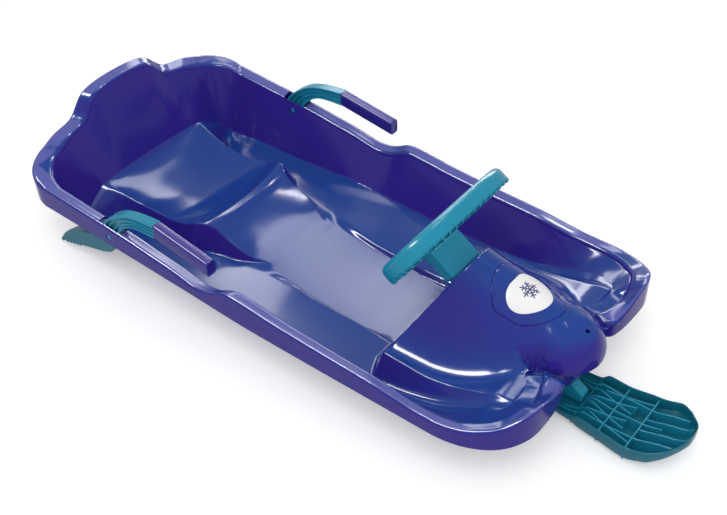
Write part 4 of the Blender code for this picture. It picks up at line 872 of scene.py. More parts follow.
@dataclass
class Understructure:
    """The runner keels below the tub and the webs that carry the shaft's bushes."""

    form: TubForm = field(default_factory=TubForm)
    keel_x: float = 0.150
    keel_width: float = 0.012
    keel_run: tuple[float, float] = (-0.060, 0.470)
    web_at: tuple[float, float] = (0.045, 0.190)
    web_half: float = 0.056
    web_thickness: float = 0.005
    web_drop: float = 0.0157
    bore: float = 0.0096

    def keel_mesh(self) -> bpy.types.Mesh:
        """Return both keels, whose lower edges rise at their ends."""
        front, rear = self.keel_run
        ys = np.linspace(front, rear, 90)
        lines = [np.column_stack((np.full_like(ys, side.value * self.keel_x), ys)) for side in Side]
        lower = ((front, 0.012), (front + 0.05, 0.0), (rear - 0.05, 0.0), (rear, 0.010))
        return strip_mesh("keels", lines, self.keel_width, lambda x, y: smooth_curve(lower, y),
                          lambda x, y: self.form.height(x, y) - SHELL * 0.6)

    def web_mesh(self, at: float) -> bpy.types.Mesh:
        """Return one web square to the shaft, from below it up to the inside of the bonnet.

        The upper edge is found by halving the range of rise in which the point is below the
        bonnet's inner side.
        """
        xs = np.linspace(-self.web_half, self.web_half, 57)
        sections = []
        for along in (at - self.web_thickness / 2, at + self.web_thickness / 2):
            low, high = np.zeros_like(xs), np.full_like(xs, 0.16)
            for _ in range(30):
                middle = (low + high) / 2
                point = on_axis(along, middle, xs)
                below = point[:, 2] < self.form.height(xs, point[:, 1]) - SHELL * 0.8
                low, high = np.where(below, middle, low), np.where(below, high, middle)
            sections.append((on_axis(along, -self.web_drop, xs), on_axis(along, low, xs)))
        rows = np.stack((sections[0][0], sections[0][1], sections[1][1], sections[1][0]), axis=1)
        web = loft_mesh("web", rows, 30.0)
        return apply_cuts("web", web, [Openings().rod("web_bore", self.bore, 0.020, axis_place(at - 0.010))])


@dataclass
class Hatch:
    """The lid in the bonnet, its joint line and its badge."""

    form: TubForm = field(default_factory=TubForm)
    centre_y: float = -0.318
    rear_y: float = -0.2614
    front_y: float = -0.3766
    half: float = 0.049
    bow: tuple[float, float] = (9.9, 19.85)
    gap: float = 0.0003
    lean: float = 0.06
    badge_depth: float = 0.0008
    badge_radius: float = 0.0352
    snowflake: tuple[float, float] = (0.0150, 0.0019)
    steps: int = 160

    def outline(self, grow: float) -> Array:
        """Return the lid's plan outline: bowed rear and front edges between two leaning sides.

        For each direction from the centre, the reach is found by halving the range in which the
        point lies inside all three limits.
        """
        turn = np.linspace(0, 2 * np.pi, self.steps, endpoint=False)
        c, s = np.cos(turn), np.sin(turn)
        low, high = np.zeros(self.steps), np.full(self.steps, 0.12)
        for _ in range(40):
            mid = (low + high) / 2
            x, y = mid * c, self.centre_y + mid * s
            half = self.half - self.lean * (self.centre_y - y)
            inside = ((np.abs(x) < half) & (y < self.rear_y - self.bow[0] * x * x)
                      & (y > self.front_y + self.bow[1] * x * x))
            low, high = np.where(inside, mid, low), np.where(inside, high, mid)
        for _ in range(16):
            low = (np.roll(low, 1) + 2 * low + np.roll(low, -1)) / 4
        return np.column_stack(((low + grow) * c, self.centre_y + (low + grow) * s))

    def badge_outline(self, grow: float) -> Array:
        """Return the badge's plan outline: a circle drawn out sideways and pointed to the front."""
        turn = np.linspace(0, 2 * np.pi, self.steps, endpoint=False)
        radius = self.badge_radius * (1 + 0.10 * np.cos(2 * turn)) - 0.0020 * np.sin(turn)
        radius = radius + 0.0029 * np.sin(3 * turn) + grow
        return np.column_stack((radius * np.cos(turn), self.centre_y + radius * np.sin(turn)))

    def scaled(self, outline: Array, share: float) -> Array:
        """Return an outline drawn in towards the lid's centre."""
        return np.array((0.0, self.centre_y)) + (outline - (0.0, self.centre_y)) * share

    def stack(self, name: str, layers: Sequence[tuple[Array, float]], top: float,
              bottom: float) -> bpy.types.Mesh:
        """Return a solid of plan rings that follow the bonnet at given offsets.

        Args:
            name: name of the mesh.
            layers: plan ring and height over the bonnet, from the upper middle outward and back.
            top: offset of the upper middle point.
            bottom: offset of the lower middle point.

        Returns:
            The mesh.
        """
        rings = [np.column_stack((plan, self.form.height(*plan.T) + offset)) for plan, offset in layers]
        middle = float(self.form.height(0.0, self.centre_y))
        poles = np.array(((0.0, self.centre_y, middle + top), (0.0, self.centre_y, middle + bottom)))
        return ring_mesh(name, rings, poles, downward=True)

    def opening(self) -> bpy.types.Mesh:
        """Return the cutter of the lid's opening, which flares a little at the surface."""
        lid = self.outline(0.0)
        rings = [(self.scaled(lid, share), 0.015) for share in (0.3, 0.6, 0.85)]
        for grow, offset in ((0.0012, 0.015), (0.0012, 0.0001), (0.0007, -0.0004), (self.gap, -0.0012),
                             (self.gap, -0.012)):
            rings.append((self.outline(grow), offset))
        rings += [(self.scaled(lid, share), -0.012) for share in (0.85, 0.6, 0.3)]
        return self.stack("hatch_opening", rings, 0.015, -0.012)

    def lid_mesh(self) -> bpy.types.Mesh:
        """Return the lid with its rounded edge and the shallow recess of the badge."""
        recess = self.badge_outline(self.gap)
        lid = self.outline(0.0)
        rings = [(self.scaled(recess, share), -self.badge_depth) for share in (0.25, 0.5, 0.75, 1.0)]
        rings += [(recess, 0.0)]
        for share in (0.25, 0.5, 0.75, 0.9):
            rings.append((recess + (self.outline(-0.0012) - recess) * share, 0.0))
        rings += [(self.outline(-0.0012), 0.0), (self.outline(-0.0005), -0.0002),
                  (self.outline(-0.0001), -0.0007), (lid, -0.0013), (lid, -SHELL)]
        rings += [(self.scaled(lid, share), -SHELL) for share in (0.8, 0.5, 0.25)]
        return self.stack("hatch_lid", rings, -self.badge_depth, -SHELL)

    def badge_mesh(self) -> bpy.types.Mesh:
        """Return the thin badge that lies in the lid's recess."""
        high, low = 0.0, self.gap - self.badge_depth
        badge = self.badge_outline(0.0)
        rings = [(self.scaled(badge, share), high) for share in (0.25, 0.5, 0.75)]
        rings += [(self.badge_outline(-0.0003), high), (badge, high - 0.0002), (badge, low)]
        rings += [(self.scaled(badge, share), low) for share in (0.75, 0.5, 0.25)]
        return self.stack("badge", rings, high, low)


@dataclass
class HandWheel:
    """The flattened hand wheel, hollow and ribbed on its front side, with its hub."""

    width: float = 0.266
    height: float = 0.145
    depth: float = 0.032
    bar: float = 0.024
    at: float = -0.0423
    rise: float = 0.0412
    wall: float = 0.0030
    pockets: int = 44
    rib: float = 0.0022
    rib_ease: float = 0.0004
    rib_drop: float = 0.0012
    mouth: float = 0.008
    pocket_round: tuple[float, float] = (0.005, 0.0065)
    pocket_floor: float = 0.0045
    lip_notch: float = 0.0034
    back_round: float = 0.0115
    lip_round: float = 0.0048
    oval: float = 2.7
    hub: tuple[float, float, float] = (0.072, 0.034, 0.024)

    def ring(self, inset: Array, turn: Array) -> tuple[Array, Array]:
        """Return x and rise of the rim at an angle, on a squarish oval with the exponent oval."""
        c, s = np.cos(turn), np.sin(turn)
        x = (self.width / 2 - inset) * np.sign(c) * np.abs(c) ** (2 / self.oval)
        rise = (self.height / 2 - inset) * np.sign(s) * np.abs(s) ** (2 / self.oval)
        return x, rise + self.rise

    def turns(self, shares: Array) -> Array:
        """Return the angles at equal shares of the run round the rim's middle line."""
        dense = np.linspace(0, 2 * np.pi, 4001)
        x, rise = self.ring(np.full_like(dense, self.bar / 2), dense)
        run = np.concatenate(([0], np.cumsum(np.hypot(np.diff(x), np.diff(rise)))))
        return np.interp(shares * run[-1], run, dense)

    def mesh(self) -> bpy.types.Mesh:
        """Return the rim: one section carried round, hollow in the pockets and filled at the ribs.

        In the pockets the lip of the outer wall stands back, so that slits show between the ribs.
        """
        front, back = self.at + self.depth / 2, self.at - self.depth / 2
        arc = np.linspace(0, np.pi / 2, 7)
        r, edge = self.back_round, self.lip_round
        lip = [(edge - edge * math.sin(a), front - edge + edge * math.cos(a)) for a in arc[2:]]
        outer = [(self.wall * 0.75, front), *lip, (0.0, (front + back) / 2)]
        outer += [(r - r * math.cos(a), back + r - r * math.sin(a)) for a in arc]
        outer += [(self.bar / 2, back)]
        outer += [(self.bar - r + r * math.sin(a), back + r - r * math.cos(a)) for a in arc]
        outer += [(self.bar, (front + back) / 2), *((self.bar - inset, along) for inset, along in lip[::-1]),
                  (self.bar - self.wall * 0.75, front)]
        far, near = self.bar - self.wall, self.wall
        floor, (side, up) = back + self.pocket_floor, self.pocket_round
        hollow = [(far, front), (far, front - self.mouth), (far, floor + up), (far - side, floor),
                  (near + side, floor), (near, floor + up), (near, front - self.mouth), (near, front)]
        filled = [(far + (near - far) * k / 7, front - self.rib_drop) for k in range(1, 7)]
        flush = [(far, front), *filled, (near, front)]
        open_section, full_section = np.array(outer + hollow), np.array(outer + flush)
        lip_rows = (open_section[:, 0] <= near) & (open_section[:, 1] > front - edge - 0.0001)
        open_section[lip_rows, 1] -= self.lip_notch
        length = 2 * math.pi * math.sqrt(((self.width / 2) ** 2 + (self.height / 2) ** 2) / 2)
        rib = self.rib / length
        pitch = 1.0 / self.pockets
        local = np.array((-rib / 2, rib / 2, rib / 2 + self.rib_ease, 0.35 * pitch, 0.65 * pitch,
                          pitch - rib / 2 - self.rib_ease))
        full = np.array((True, True, False, False, False, False))
        shares = (np.arange(self.pockets)[:, None] * pitch + local[None, :]).ravel() % 1.0
        kind = np.tile(full, self.pockets)
        turn = self.turns(shares)
        section = np.where(kind[:, None, None], full_section[None], open_section[None])
        x, rise = self.ring(section[..., 0], np.broadcast_to(turn[:, None], section.shape[:2]))
        points = on_axis(section[..., 1], rise, x)
        rows, cols = points.shape[:2]
        closed = np.concatenate((points, points[:1]))
        return build_mesh("wheel_rim", closed, grid_quads(rows + 1, cols, wrap=True), smooth=38.0)

    def hub_mesh(self) -> bpy.types.Mesh:
        """Return the hub block that fills the foot of the rim."""
        front = self.at + self.depth / 2
        corners = rectangle(self.hub[0], self.hub[1], -0.004)
        ends = (front - self.hub[2], front - 0.0002)
        sections = [on_axis(along, corners[:, 1], corners[:, 0]) for along in ends]
        return loft_mesh("wheel_hub", np.stack(sections), 30.0)


@dataclass
class Column:
    """The flat sleeve between the hand wheel and the console."""

    width: float = 0.072
    thickness: float = 0.025
    start: float = -0.0260
    end: float = 0.0275

    def mesh(self) -> bpy.types.Mesh:
        """Return the sleeve: a rectangle carried along the axis, its lower end cut along the dashboard."""
        lean = math.tan(math.atan(TubForm().dash_slope) - (math.pi / 2 - AXIS_TILT))
        corners = rectangle(self.width, self.thickness)
        rows = []
        for share in np.linspace(0, 1, 5):
            along = self.start + (self.end + corners[:, 1] * lean - self.start) * share
            rows.append(on_axis(along, corners[:, 1], corners[:, 0]))
        return loft_mesh("column_sleeve", np.stack(rows), 30.0)


@dataclass
class FrontSki:
    """The ribbed ski tray with its keel, and the mount that carries it."""

    rear: float = -0.383
    tip: float = -0.606
    wall: float = 0.003
    rib: float = 0.0022
    cross_ribs: tuple[float, float, float] = (-0.4365, -0.482, -0.529)
    keel_width: float = 0.006
    mount_width: float = 0.020
    mount_half: float = 0.016
    mount_run: tuple[float, float] = (0.213, 0.290)
    mount_foot: tuple[float, float] = (-0.385, -0.4325)

    def sole(self, y: Array | float) -> Array:
        """Return the height of the sole."""
        return smooth_curve(((self.tip, 0.045), (-0.585, 0.032), (-0.558, 0.017), (-0.530, 0.005),
                             (-0.490, 0.004), (-0.430, 0.008), (-0.400, 0.010), (self.rear, 0.011)), y)

    def rim(self, y: Array | float) -> Array:
        """Return the height of the upper edge."""
        return smooth_curve(((self.tip, 0.066), (-0.592, 0.054), (-0.567, 0.046), (-0.529, 0.033),
                             (-0.483, 0.031), (-0.447, 0.034), (-0.435, 0.025), (-0.415, 0.023),
                             (self.rear, 0.022)), y)

    def half(self, y: Array | float) -> Array:
        """Return half the width at the upper edge."""
        return smooth_curve(((self.tip, 0.012), (-0.602, 0.022), (-0.594, 0.035), (-0.580, 0.050),
                             (-0.560, 0.060), (-0.529, 0.060), (-0.483, 0.054), (-0.447, 0.052),
                             (-0.435, 0.049), (self.rear, 0.048)), y)

    def mesh(self) -> bpy.types.Mesh:
        """Return the tray: a cross-section of walls and floor carried from the rear edge to the tip.

        The section runs up the outer wall, over the rounded edge, down the inner wall, across the
        floor and back. The end planes are closed by the same section drawn down to the floor.
        """
        ys = np.concatenate((np.linspace(self.rear, -0.545, 46)[:-1],
                             np.linspace(-0.545, self.tip + 0.0002, 30)))
        half, low, high = self.half(ys), self.sole(ys), self.rim(ys)
        ends = np.clip(np.minimum((self.rear - ys) / 0.010, (ys - self.tip) / 0.0030), 0.0, 1.0)
        floor = low + self.wall + (1 - ends) * np.maximum(high - low - self.wall - 0.0005, 0.0)
        inner = half - self.wall
        x = [-half + 0.012, -half + 0.004, -half + 0.0006, -half, -half + 0.0008, -inner - 0.0004, -inner,
             -inner + 0.0012, -inner + 0.009]
        z = [low, low + 0.0012, low + 0.0070, high - 0.0010, high, high, np.maximum(high - 0.0008, floor),
             np.maximum(np.minimum(low + 0.009, high - 0.001), floor), floor]
        left = np.stack([np.stack((a, ys, b), axis=-1) for a, b in zip(x, z)], axis=1)
        right = left[:, ::-1] * (-1.0, 1.0, 1.0)
        return loft_mesh("ski_tray", np.concatenate((left, right), axis=1), 34.0)

    def rib_mesh(self) -> bpy.types.Mesh:
        """Return the lattice of ribs inside the tray."""
        lines = []
        for y in self.cross_ribs:
            reach = float(self.half(y)) - self.wall / 2
            lines.append(np.column_stack((np.linspace(-reach, reach, 5), np.full(5, y))))
        lines.append(np.column_stack((np.zeros(24), np.linspace(-0.4365, -0.560, 24))))
        for side in (-1, 1):
            ys = np.linspace(-0.400, -0.588, 30)
            lines.append(np.column_stack((side * (0.035 + (ys + 0.400) * 0.0213), ys)))
            ys = np.linspace(-0.529, -0.602, 16)
            lines.append(np.column_stack((np.full(16, side * 0.012), ys)))
            for x0, y0, x1, y1 in ((0.004, -0.4365, 0.024, -0.509), (0.030, -0.413, 0.008, -0.507),
                                   (0.026, -0.455, 0.044, -0.529)):
                share = np.linspace(0, 1, 14)
                lines.append(np.column_stack((side * (x0 + (x1 - x0) * share), y0 + (y1 - y0) * share)))
        return strip_mesh("ski_ribs", lines, self.rib, lambda x, y: self.sole(y) + self.wall * 0.5,
                          lambda x, y: np.maximum(self.rim(y) - 0.0045, self.sole(y) + self.wall + 0.002))

    def keel_mesh(self) -> bpy.types.Mesh:
        """Return the keel below the tray."""
        ys = np.linspace(-0.445, -0.575, 30)
        line = np.column_stack((np.zeros(30), ys))
        lower = ((-0.575, 0.024), (-0.550, 0.006), (-0.530, 0.0), (-0.460, 0.0), (-0.445, 0.0065))
        return strip_mesh("ski_keel", [line], self.keel_width, lambda x, y: smooth_curve(lower, y),
                          lambda x, y: self.sole(y) + self.wall * 0.5)

    def mount_mesh(self) -> bpy.types.Mesh:
        """Return the mount between the shaft and the tray."""
        heel, toe = self.mount_foot
        floor = float(self.sole(heel)) + self.wall + 0.0003
        half, (start, end) = self.mount_half, self.mount_run
        ends = on_axis(np.array((start, start, end)), np.array((half, -half, half)), 0.0)[:, 1:]
        profile = np.array((ends[0], ends[1], (heel, floor), (toe, floor), (toe, 0.030), ends[2]))
        return plate_mesh("ski_mount", profile, 0.0, self.mount_width)


@dataclass
class Brake:
    """One brake: the ribbed lever arm, its toothed claw and the square grip."""

    side: Side
    arm_width: float = 0.019
    blade_width: float = 0.012
    groove: float = 0.0038
    pin: tuple[float, float] = (0.0285, 0.0049)
    pin_start: float = 0.2240
    grip_corner: float = 0.0045
    grip_length: float = 0.120
    grip_rear: float = 0.238
    grip_top: float = 0.195
    grip_height: float = 0.0275
    grip_fall: float = 0.150

    @property
    def middle(self) -> float:
        """Return x of the middle of the lever."""
        return self.side.value * BRAKE_X

    @property
    def word(self) -> str:
        """Return the side's word in the node names."""
        return self.side.name.lower()

    @property
    def body(self) -> Body:
        """Return the body of this brake."""
        return Body.BRAKE_LEFT if self.side is Side.LEFT else Body.BRAKE_RIGHT

    def arm_mesh(self) -> bpy.types.Mesh:
        """Return the arm: an I-shaped section with two side ribs, carried from the slot to the grip.

        The section's top and bottom follow two curves. Its half width is full at the two flanges
        and at the ribs, and drops in the grooves between them.
        """
        top = rounded_rows(np.array(((0.378, 0.121), (0.377, 0.132), (0.362, 0.148), (0.345, 0.1620),
                                     (0.3266, 0.1745), (0.300, 0.185), (0.270, 0.1910), (0.2383, 0.195))), 3)
        low = rounded_rows(np.array(((0.340, 0.121), (0.334, 0.131), (0.318, 0.149), (0.298, 0.1605),
                                     (0.285, 0.164), (0.270, 0.1660), (0.256, 0.1670), (0.2383, 0.1675))), 3)
        share = np.linspace(0, 1, 70)
        place = np.linspace(0, 1, len(top))
        top = np.column_stack([np.interp(share, place, top[:, k]) for k in (0, 1)])
        low = np.column_stack([np.interp(share, place, low[:, k]) for k in (0, 1)])
        full, groove, rib = self.arm_width / 2, self.arm_width / 2 - self.groove, self.arm_width / 2 - 0.0006
        steps = np.array(((0.0, full - 0.0012), (0.03, full), (0.13, full), (0.155, groove), (0.31, groove),
                          (0.33, rib), (0.385, rib), (0.405, groove), (0.60, groove), (0.62, rib),
                          (0.675, rib), (0.695, groove), (0.86, groove), (0.885, full), (0.97, full),
                          (1.0, full - 0.0012)))
        down, half = steps[:, 0], steps[:, 1]
        line = top[:, None, :] + (low - top)[:, None, :] * down[None, :, None]
        x = np.broadcast_to(half, line.shape[:2])
        near = np.concatenate((x[..., None], line), axis=-1)
        far = near[:, ::-1] * (-1.0, 1.0, 1.0)
        sections = np.concatenate((near, far), axis=1)
        sections[..., 0] += self.middle
        return loft_mesh("lever_arm_" + self.word, sections, 32.0)

    def blade_mesh(self) -> bpy.types.Mesh:
        """Return the claw: a flat blade from the pivot to the toothed tip behind it."""
        teeth = [(0.474 + 0.010 * k + 0.006 * up, 0.0245 - 0.003 * k + 0.004 * up)
                 for k in range(5) for up in (0, 1)]
        outline = ((0.338, 0.150), (0.341, 0.120), (0.347, 0.100), (0.379, 0.061), (0.403, 0.050),
                   (0.470, 0.030), *teeth, (0.528, 0.0085), (0.533, 0.013), (0.512, 0.039), (0.482, 0.062),
                   (0.443, 0.074), (0.395, 0.092), (0.380, 0.108), (0.3775, 0.131), (0.362, 0.145),
                   (0.352, 0.150))
        return plate_mesh("lever_claw_" + self.word, outline, self.middle, self.blade_width)

    def grip_mesh(self) -> bpy.types.Mesh:
        """Return the grip: a rounded square section carried along it, with a dished front end."""
        radius, half, tall = self.grip_corner, self.arm_width / 2, self.grip_height / 2
        arc = np.linspace(0, np.pi / 2, 5)
        quarter = (half - radius, tall - radius) + radius * np.column_stack((np.cos(arc), np.sin(arc)))
        section = np.concatenate((quarter, quarter[::-1] * (-1, 1), quarter * (-1, -1),
                                  quarter[::-1] * (1, -1)))
        length = self.grip_length
        cuts = ((0.0, 0.84), (0.0, 0.97), (0.0010, 1.0), (0.006, 1.0), (length / 2, 1.0),
                (length - 0.004, 1.0), (length - 0.0012, 0.985), (length, 0.93), (length, 0.80),
                (length - 0.0012, 0.74))
        rows = []
        for place, scale in cuts:
            height = self.grip_top - tall - self.grip_fall * place
            rows.append(np.column_stack((self.middle + section[:, 0] * scale,
                                         np.full(len(section), self.grip_rear - place),
                                         height + section[:, 1] * scale)))
        return loft_mesh("grip_" + self.word, np.stack(rows), 35.0)

    def pin_mesh(self) -> bpy.types.Mesh:
        """Return the pivot pin with its slightly rounded ends."""
        length, r = self.pin
        start = self.pin_start if self.side is Side.LEFT else -self.pin_start - length
        profile = ((0, 0), (r - 0.001, 0), (r, 0.001), (r, length - 0.001), (r - 0.001, length), (0, length))
        return turned_mesh("pivot_" + self.word, profile, cross_place(start, PIVOT_Y, PIVOT_Z), 32)


# Finishes


def link_nodes(tree: Tree, *pairs: tuple[Socket, Socket]) -> None:
    """Join output sockets to input sockets."""
    for source, target in pairs:
        tree.links.new(source, target)


def new_nodes(tree: Tree, *kinds: str) -> list[bpy.types.Node]:
    """Return new shader nodes of the given kinds."""
    return [tree.nodes.new("ShaderNode" + kind) for kind in kinds]


def new_group(name: str, inputs: dict[str, str], outputs: dict[str, str]
              ) -> tuple[Tree, bpy.types.Node, bpy.types.Node]:
    """Make a node group.

    Args:
        name: its name.
        inputs: type of each input socket by name.
        outputs: type of each output socket by name.

    Returns:
        The group, its input node and its output node.
    """
    group = bpy.data.node_groups.new(name, "ShaderNodeTree")
    for in_out, sockets in (("INPUT", inputs), ("OUTPUT", outputs)):
        for label, kind in sockets.items():
            group.interface.new_socket(label, in_out=in_out, socket_type="NodeSocket" + kind)
    return group, group.nodes.new("NodeGroupInput"), group.nodes.new("NodeGroupOutput")


def feed(tree: Tree, slot: Socket, value: Socket | float | tuple[float, ...]) -> None:
    """Join a socket to an input, or set the input to a number or a colour."""
    if isinstance(value, Socket):
        tree.links.new(value, slot)
    else:
        slot.default_value = value


def math_step(tree: Tree, kind: str, *values: Socket | float) -> Socket:
    """Return one mathematical step.

    Args:
        tree: the tree that gets the node.
        kind: the operation.
        values: sockets or numbers that go in.

    Returns:
        The result's socket.
    """
    made = tree.nodes.new("ShaderNodeMath")
    made.operation = kind
    for slot, value in zip(made.inputs, values):
        feed(tree, slot, value)
    return made.outputs[0]


def map_step(tree: Tree, source: Socket, low: float, high: float, kind: str = "LINEAR") -> Socket:
    """Return a share from 0 to 1 of a value between two limits.

    Args:
        tree: the tree that gets the node.
        source: the value.
        low: value of share 0.
        high: value of share 1.
        kind: how the share rises.

    Returns:
        The share's socket.
    """
    span = tree.nodes.new("ShaderNodeMapRange")
    span.interpolation_type = kind
    span.inputs["From Min"].default_value = low
    span.inputs["From Max"].default_value = high
    tree.links.new(source, span.inputs["Value"])
    return span.outputs["Result"]


def mix_step(tree: Tree, share: Socket, first: Socket | tuple[float, ...],
             second: Socket | tuple[float, ...]) -> Socket:
    """Return a mix of two colours.

    Args:
        tree: the tree that gets the node.
        share: share of the second colour.
        first: the first colour.
        second: the second colour.

    Returns:
        The mixed colour's socket.
    """
    mix = tree.nodes.new("ShaderNodeMix")
    mix.data_type = "RGBA"
    for label, value in (("Factor", share), ("A", first), ("B", second)):
        feed(tree, mix.inputs[label], value)
    return mix.outputs["Result"]


def tone_group() -> Tree:
    """Return the shared group that drifts a colour slowly over a moulding.

    Noise in object coordinates mixes the colour with a second one.
    """
    group, entry, leave = new_group("moulding_tone", {"Colour": "Color", "Drift": "Color", "Scale": "Float"},
                                    {"Colour": "Color"})
    place, noise = new_nodes(group, "TexCoord", "TexNoise")
    noise.inputs["Detail"].default_value = 3.0
    link_nodes(group, (place.outputs["Object"], noise.inputs["Vector"]),
               (entry.outputs["Scale"], noise.inputs["Scale"]))
    share = map_step(group, noise.outputs["Fac"], 0.35, 0.65)
    mixed = mix_step(group, share, entry.outputs["Colour"], entry.outputs["Drift"])
    group.links.new(mixed, leave.inputs["Colour"])
    return group


def painted_light_group() -> Tree:
    """Return the group of painted light in the tub's colour: bluer on level faces, a paler painted sheen on
    the rim flange.

    The level share is a step of the normal's upward part. The flange's share is the level share
    where the point lies outside the rim's inner edge, taken at the sides, the rear and the lobes.
    """
    group, entry, leave = new_group("painted_tilt_light", {name: "Color" for name in ("Steep", "Level", "Flange")},
                                    {"Colour": "Color"})
    place, where, normal = new_nodes(group, "TexCoord", "SeparateXYZ", "SeparateXYZ")
    link_nodes(group, (place.outputs["Object"], where.inputs[0]), (place.outputs["Normal"], normal.inputs[0]))
    step, calc = partial(map_step, group, kind="SMOOTHSTEP"), partial(math_step, group)
    across = calc("ABSOLUTE", where.outputs["X"])
    side, rear = step(across, 0.2235, 0.2285), step(where.outputs["Y"], 0.5620, 0.5690)
    lobe = calc("MULTIPLY", step(where.outputs["Y"], -0.4090, -0.4150), step(across, 0.074, 0.082))
    outside = calc("MAXIMUM", calc("MAXIMUM", side, rear), lobe)
    # painted light: faces that look up take the bluer Level colour, as if lit from above; on the flange they
    # take the paler Flange colour as a painted sheen
    level = step(normal.outputs["Z"], 0.45, 0.97)
    flange = calc("MULTIPLY", outside, step(normal.outputs["Z"], 0.80, 0.93))
    base = mix_step(group, level, entry.outputs["Steep"], entry.outputs["Level"])
    group.links.new(mix_step(group, flange, base, entry.outputs["Flange"]), leave.inputs["Colour"])
    return group


def snowflake_group(centre: tuple[float, float], size: float, line: float) -> Tree:
    """Return the group that draws a generic six-armed snowflake as a mask over the plan.

    The angle round the centre is folded into half of one sixth, so that one half arm with its
    branches makes all six. Each stroke is the distance to a short line, cut off at half its width.

    Args:
        centre: plan point of its middle, in object coordinates.
        size: length of an arm.
        line: width of the strokes.

    Returns:
        The group.
    """
    group, _, leave = new_group("snowflake", {}, {"Mask": "Float"})
    place, where = new_nodes(group, "TexCoord", "SeparateXYZ")
    group.links.new(place.outputs["Object"], where.inputs[0])
    calc = partial(math_step, group)

    def length_of(a: Socket, b: Socket) -> Socket:
        """Return the length of a plan vector."""
        return calc("SQRT", calc("ADD", calc("MULTIPLY", a, a), calc("MULTIPLY", b, b)))

    x = calc("SUBTRACT", where.outputs["X"], centre[0])
    y = calc("SUBTRACT", where.outputs["Y"], centre[1])
    reach, turn, sixth = length_of(x, y), calc("ARCTAN2", y, x), math.pi / 3
    within = calc("FLOORED_MODULO", calc("ADD", turn, sixth / 2), sixth)
    folded = calc("ABSOLUTE", calc("SUBTRACT", within, sixth / 2))
    u = calc("MULTIPLY", reach, calc("COSINE", folded))
    v = calc("MULTIPLY", reach, calc("SINE", folded))

    def stroke(start: float, angle: float, length: float) -> Socket:
        """Return the distance from a short line that leaves a point of the arm at an angle."""
        a, c, s = calc("SUBTRACT", u, start), math.cos(angle), math.sin(angle)
        along = calc("ADD", calc("MULTIPLY", a, c), calc("MULTIPLY", v, s))
        held = calc("MINIMUM", calc("MAXIMUM", along, 0.0), length)
        return length_of(calc("SUBTRACT", a, calc("MULTIPLY", held, c)),
                         calc("SUBTRACT", v, calc("MULTIPLY", held, s)))

    near = stroke(0.0, 0.0, size)
    for at, long in ((0.34, 0.22), (0.60, 0.30)):
        near = calc("MINIMUM", near, stroke(size * at, math.radians(58), size * long))
    group.links.new(map_step(group, near, line / 2 + 0.0002, line / 2), leave.inputs["Mask"])
    return group


def grain_group() -> Tree:
    """Return the shared group for a moulding's fine surface: roughness that varies, and a faint relief."""
    group, entry, leave = new_group("moulding_grain",
                                    {name: "Float" for name in ("Roughness", "Spread", "Scale", "Relief")},
                                    {"Roughness": "Float", "Normal": "Vector"})
    place, noise, slow, bump = new_nodes(group, "TexCoord", "TexNoise", "TexNoise", "Bump")
    noise.inputs["Detail"].default_value = 2.0
    slow.inputs["Scale"].default_value = 14.0
    bump.inputs["Distance"].default_value = 0.0002
    shift = math_step(group, "SUBTRACT", slow.outputs["Fac"], 0.5)
    rough = math_step(group, "MULTIPLY_ADD", shift, entry.outputs["Spread"], entry.outputs["Roughness"])
    link_nodes(group, (place.outputs["Object"], noise.inputs["Vector"]),
               (place.outputs["Object"], slow.inputs["Vector"]),
               (entry.outputs["Scale"], noise.inputs["Scale"]), (noise.outputs["Fac"], bump.inputs["Height"]),
               (entry.outputs["Relief"], bump.inputs["Strength"]), (rough, leave.inputs["Roughness"]),
               (bump.outputs["Normal"], leave.inputs["Normal"]))
    return group


@dataclass(frozen=True)
class Finish:
    """A moulded plastic or plated metal finish."""

    name: str
    colour: tuple[float, float, float]
    drift: tuple[float, float, float]
    roughness: float
    spread: float = 0.05
    grain: float = 900.0
    relief: float = 0.05
    metallic: float = 0.0
    specular: float = 0.5

    def material(self, tone: Tree, grain: Tree) -> bpy.types.Material:
        """Return the finish as a material.

        Args:
            tone: the shared colour group.
            grain: the shared surface group.

        Returns:
            The material.
        """
        made = bpy.data.materials.new(self.name)
        made.use_nodes = True
        tree = made.node_tree
        shader = tree.nodes["Principled BSDF"]
        colour, surface = new_nodes(tree, "Group", "Group")
        colour.node_tree, surface.node_tree = tone, grain
        for node, values in (
                (shader, {"Metallic": self.metallic, "Specular IOR Level": self.specular}),
                (colour, {"Colour": (*self.colour, 1.0), "Drift": (*self.drift, 1.0), "Scale": 5.0}),
                (surface, {"Roughness": self.roughness, "Spread": self.spread, "Scale": self.grain,
                           "Relief": self.relief})):
            for label, value in values.items():
                node.inputs[label].default_value = value
        link_nodes(tree, (colour.outputs["Colour"], shader.inputs["Base Color"]),
                   (surface.outputs["Roughness"], shader.inputs["Roughness"]),
                   (surface.outputs["Normal"], shader.inputs["Normal"]))
        made.diffuse_color = (*self.colour, 1.0)
        return made


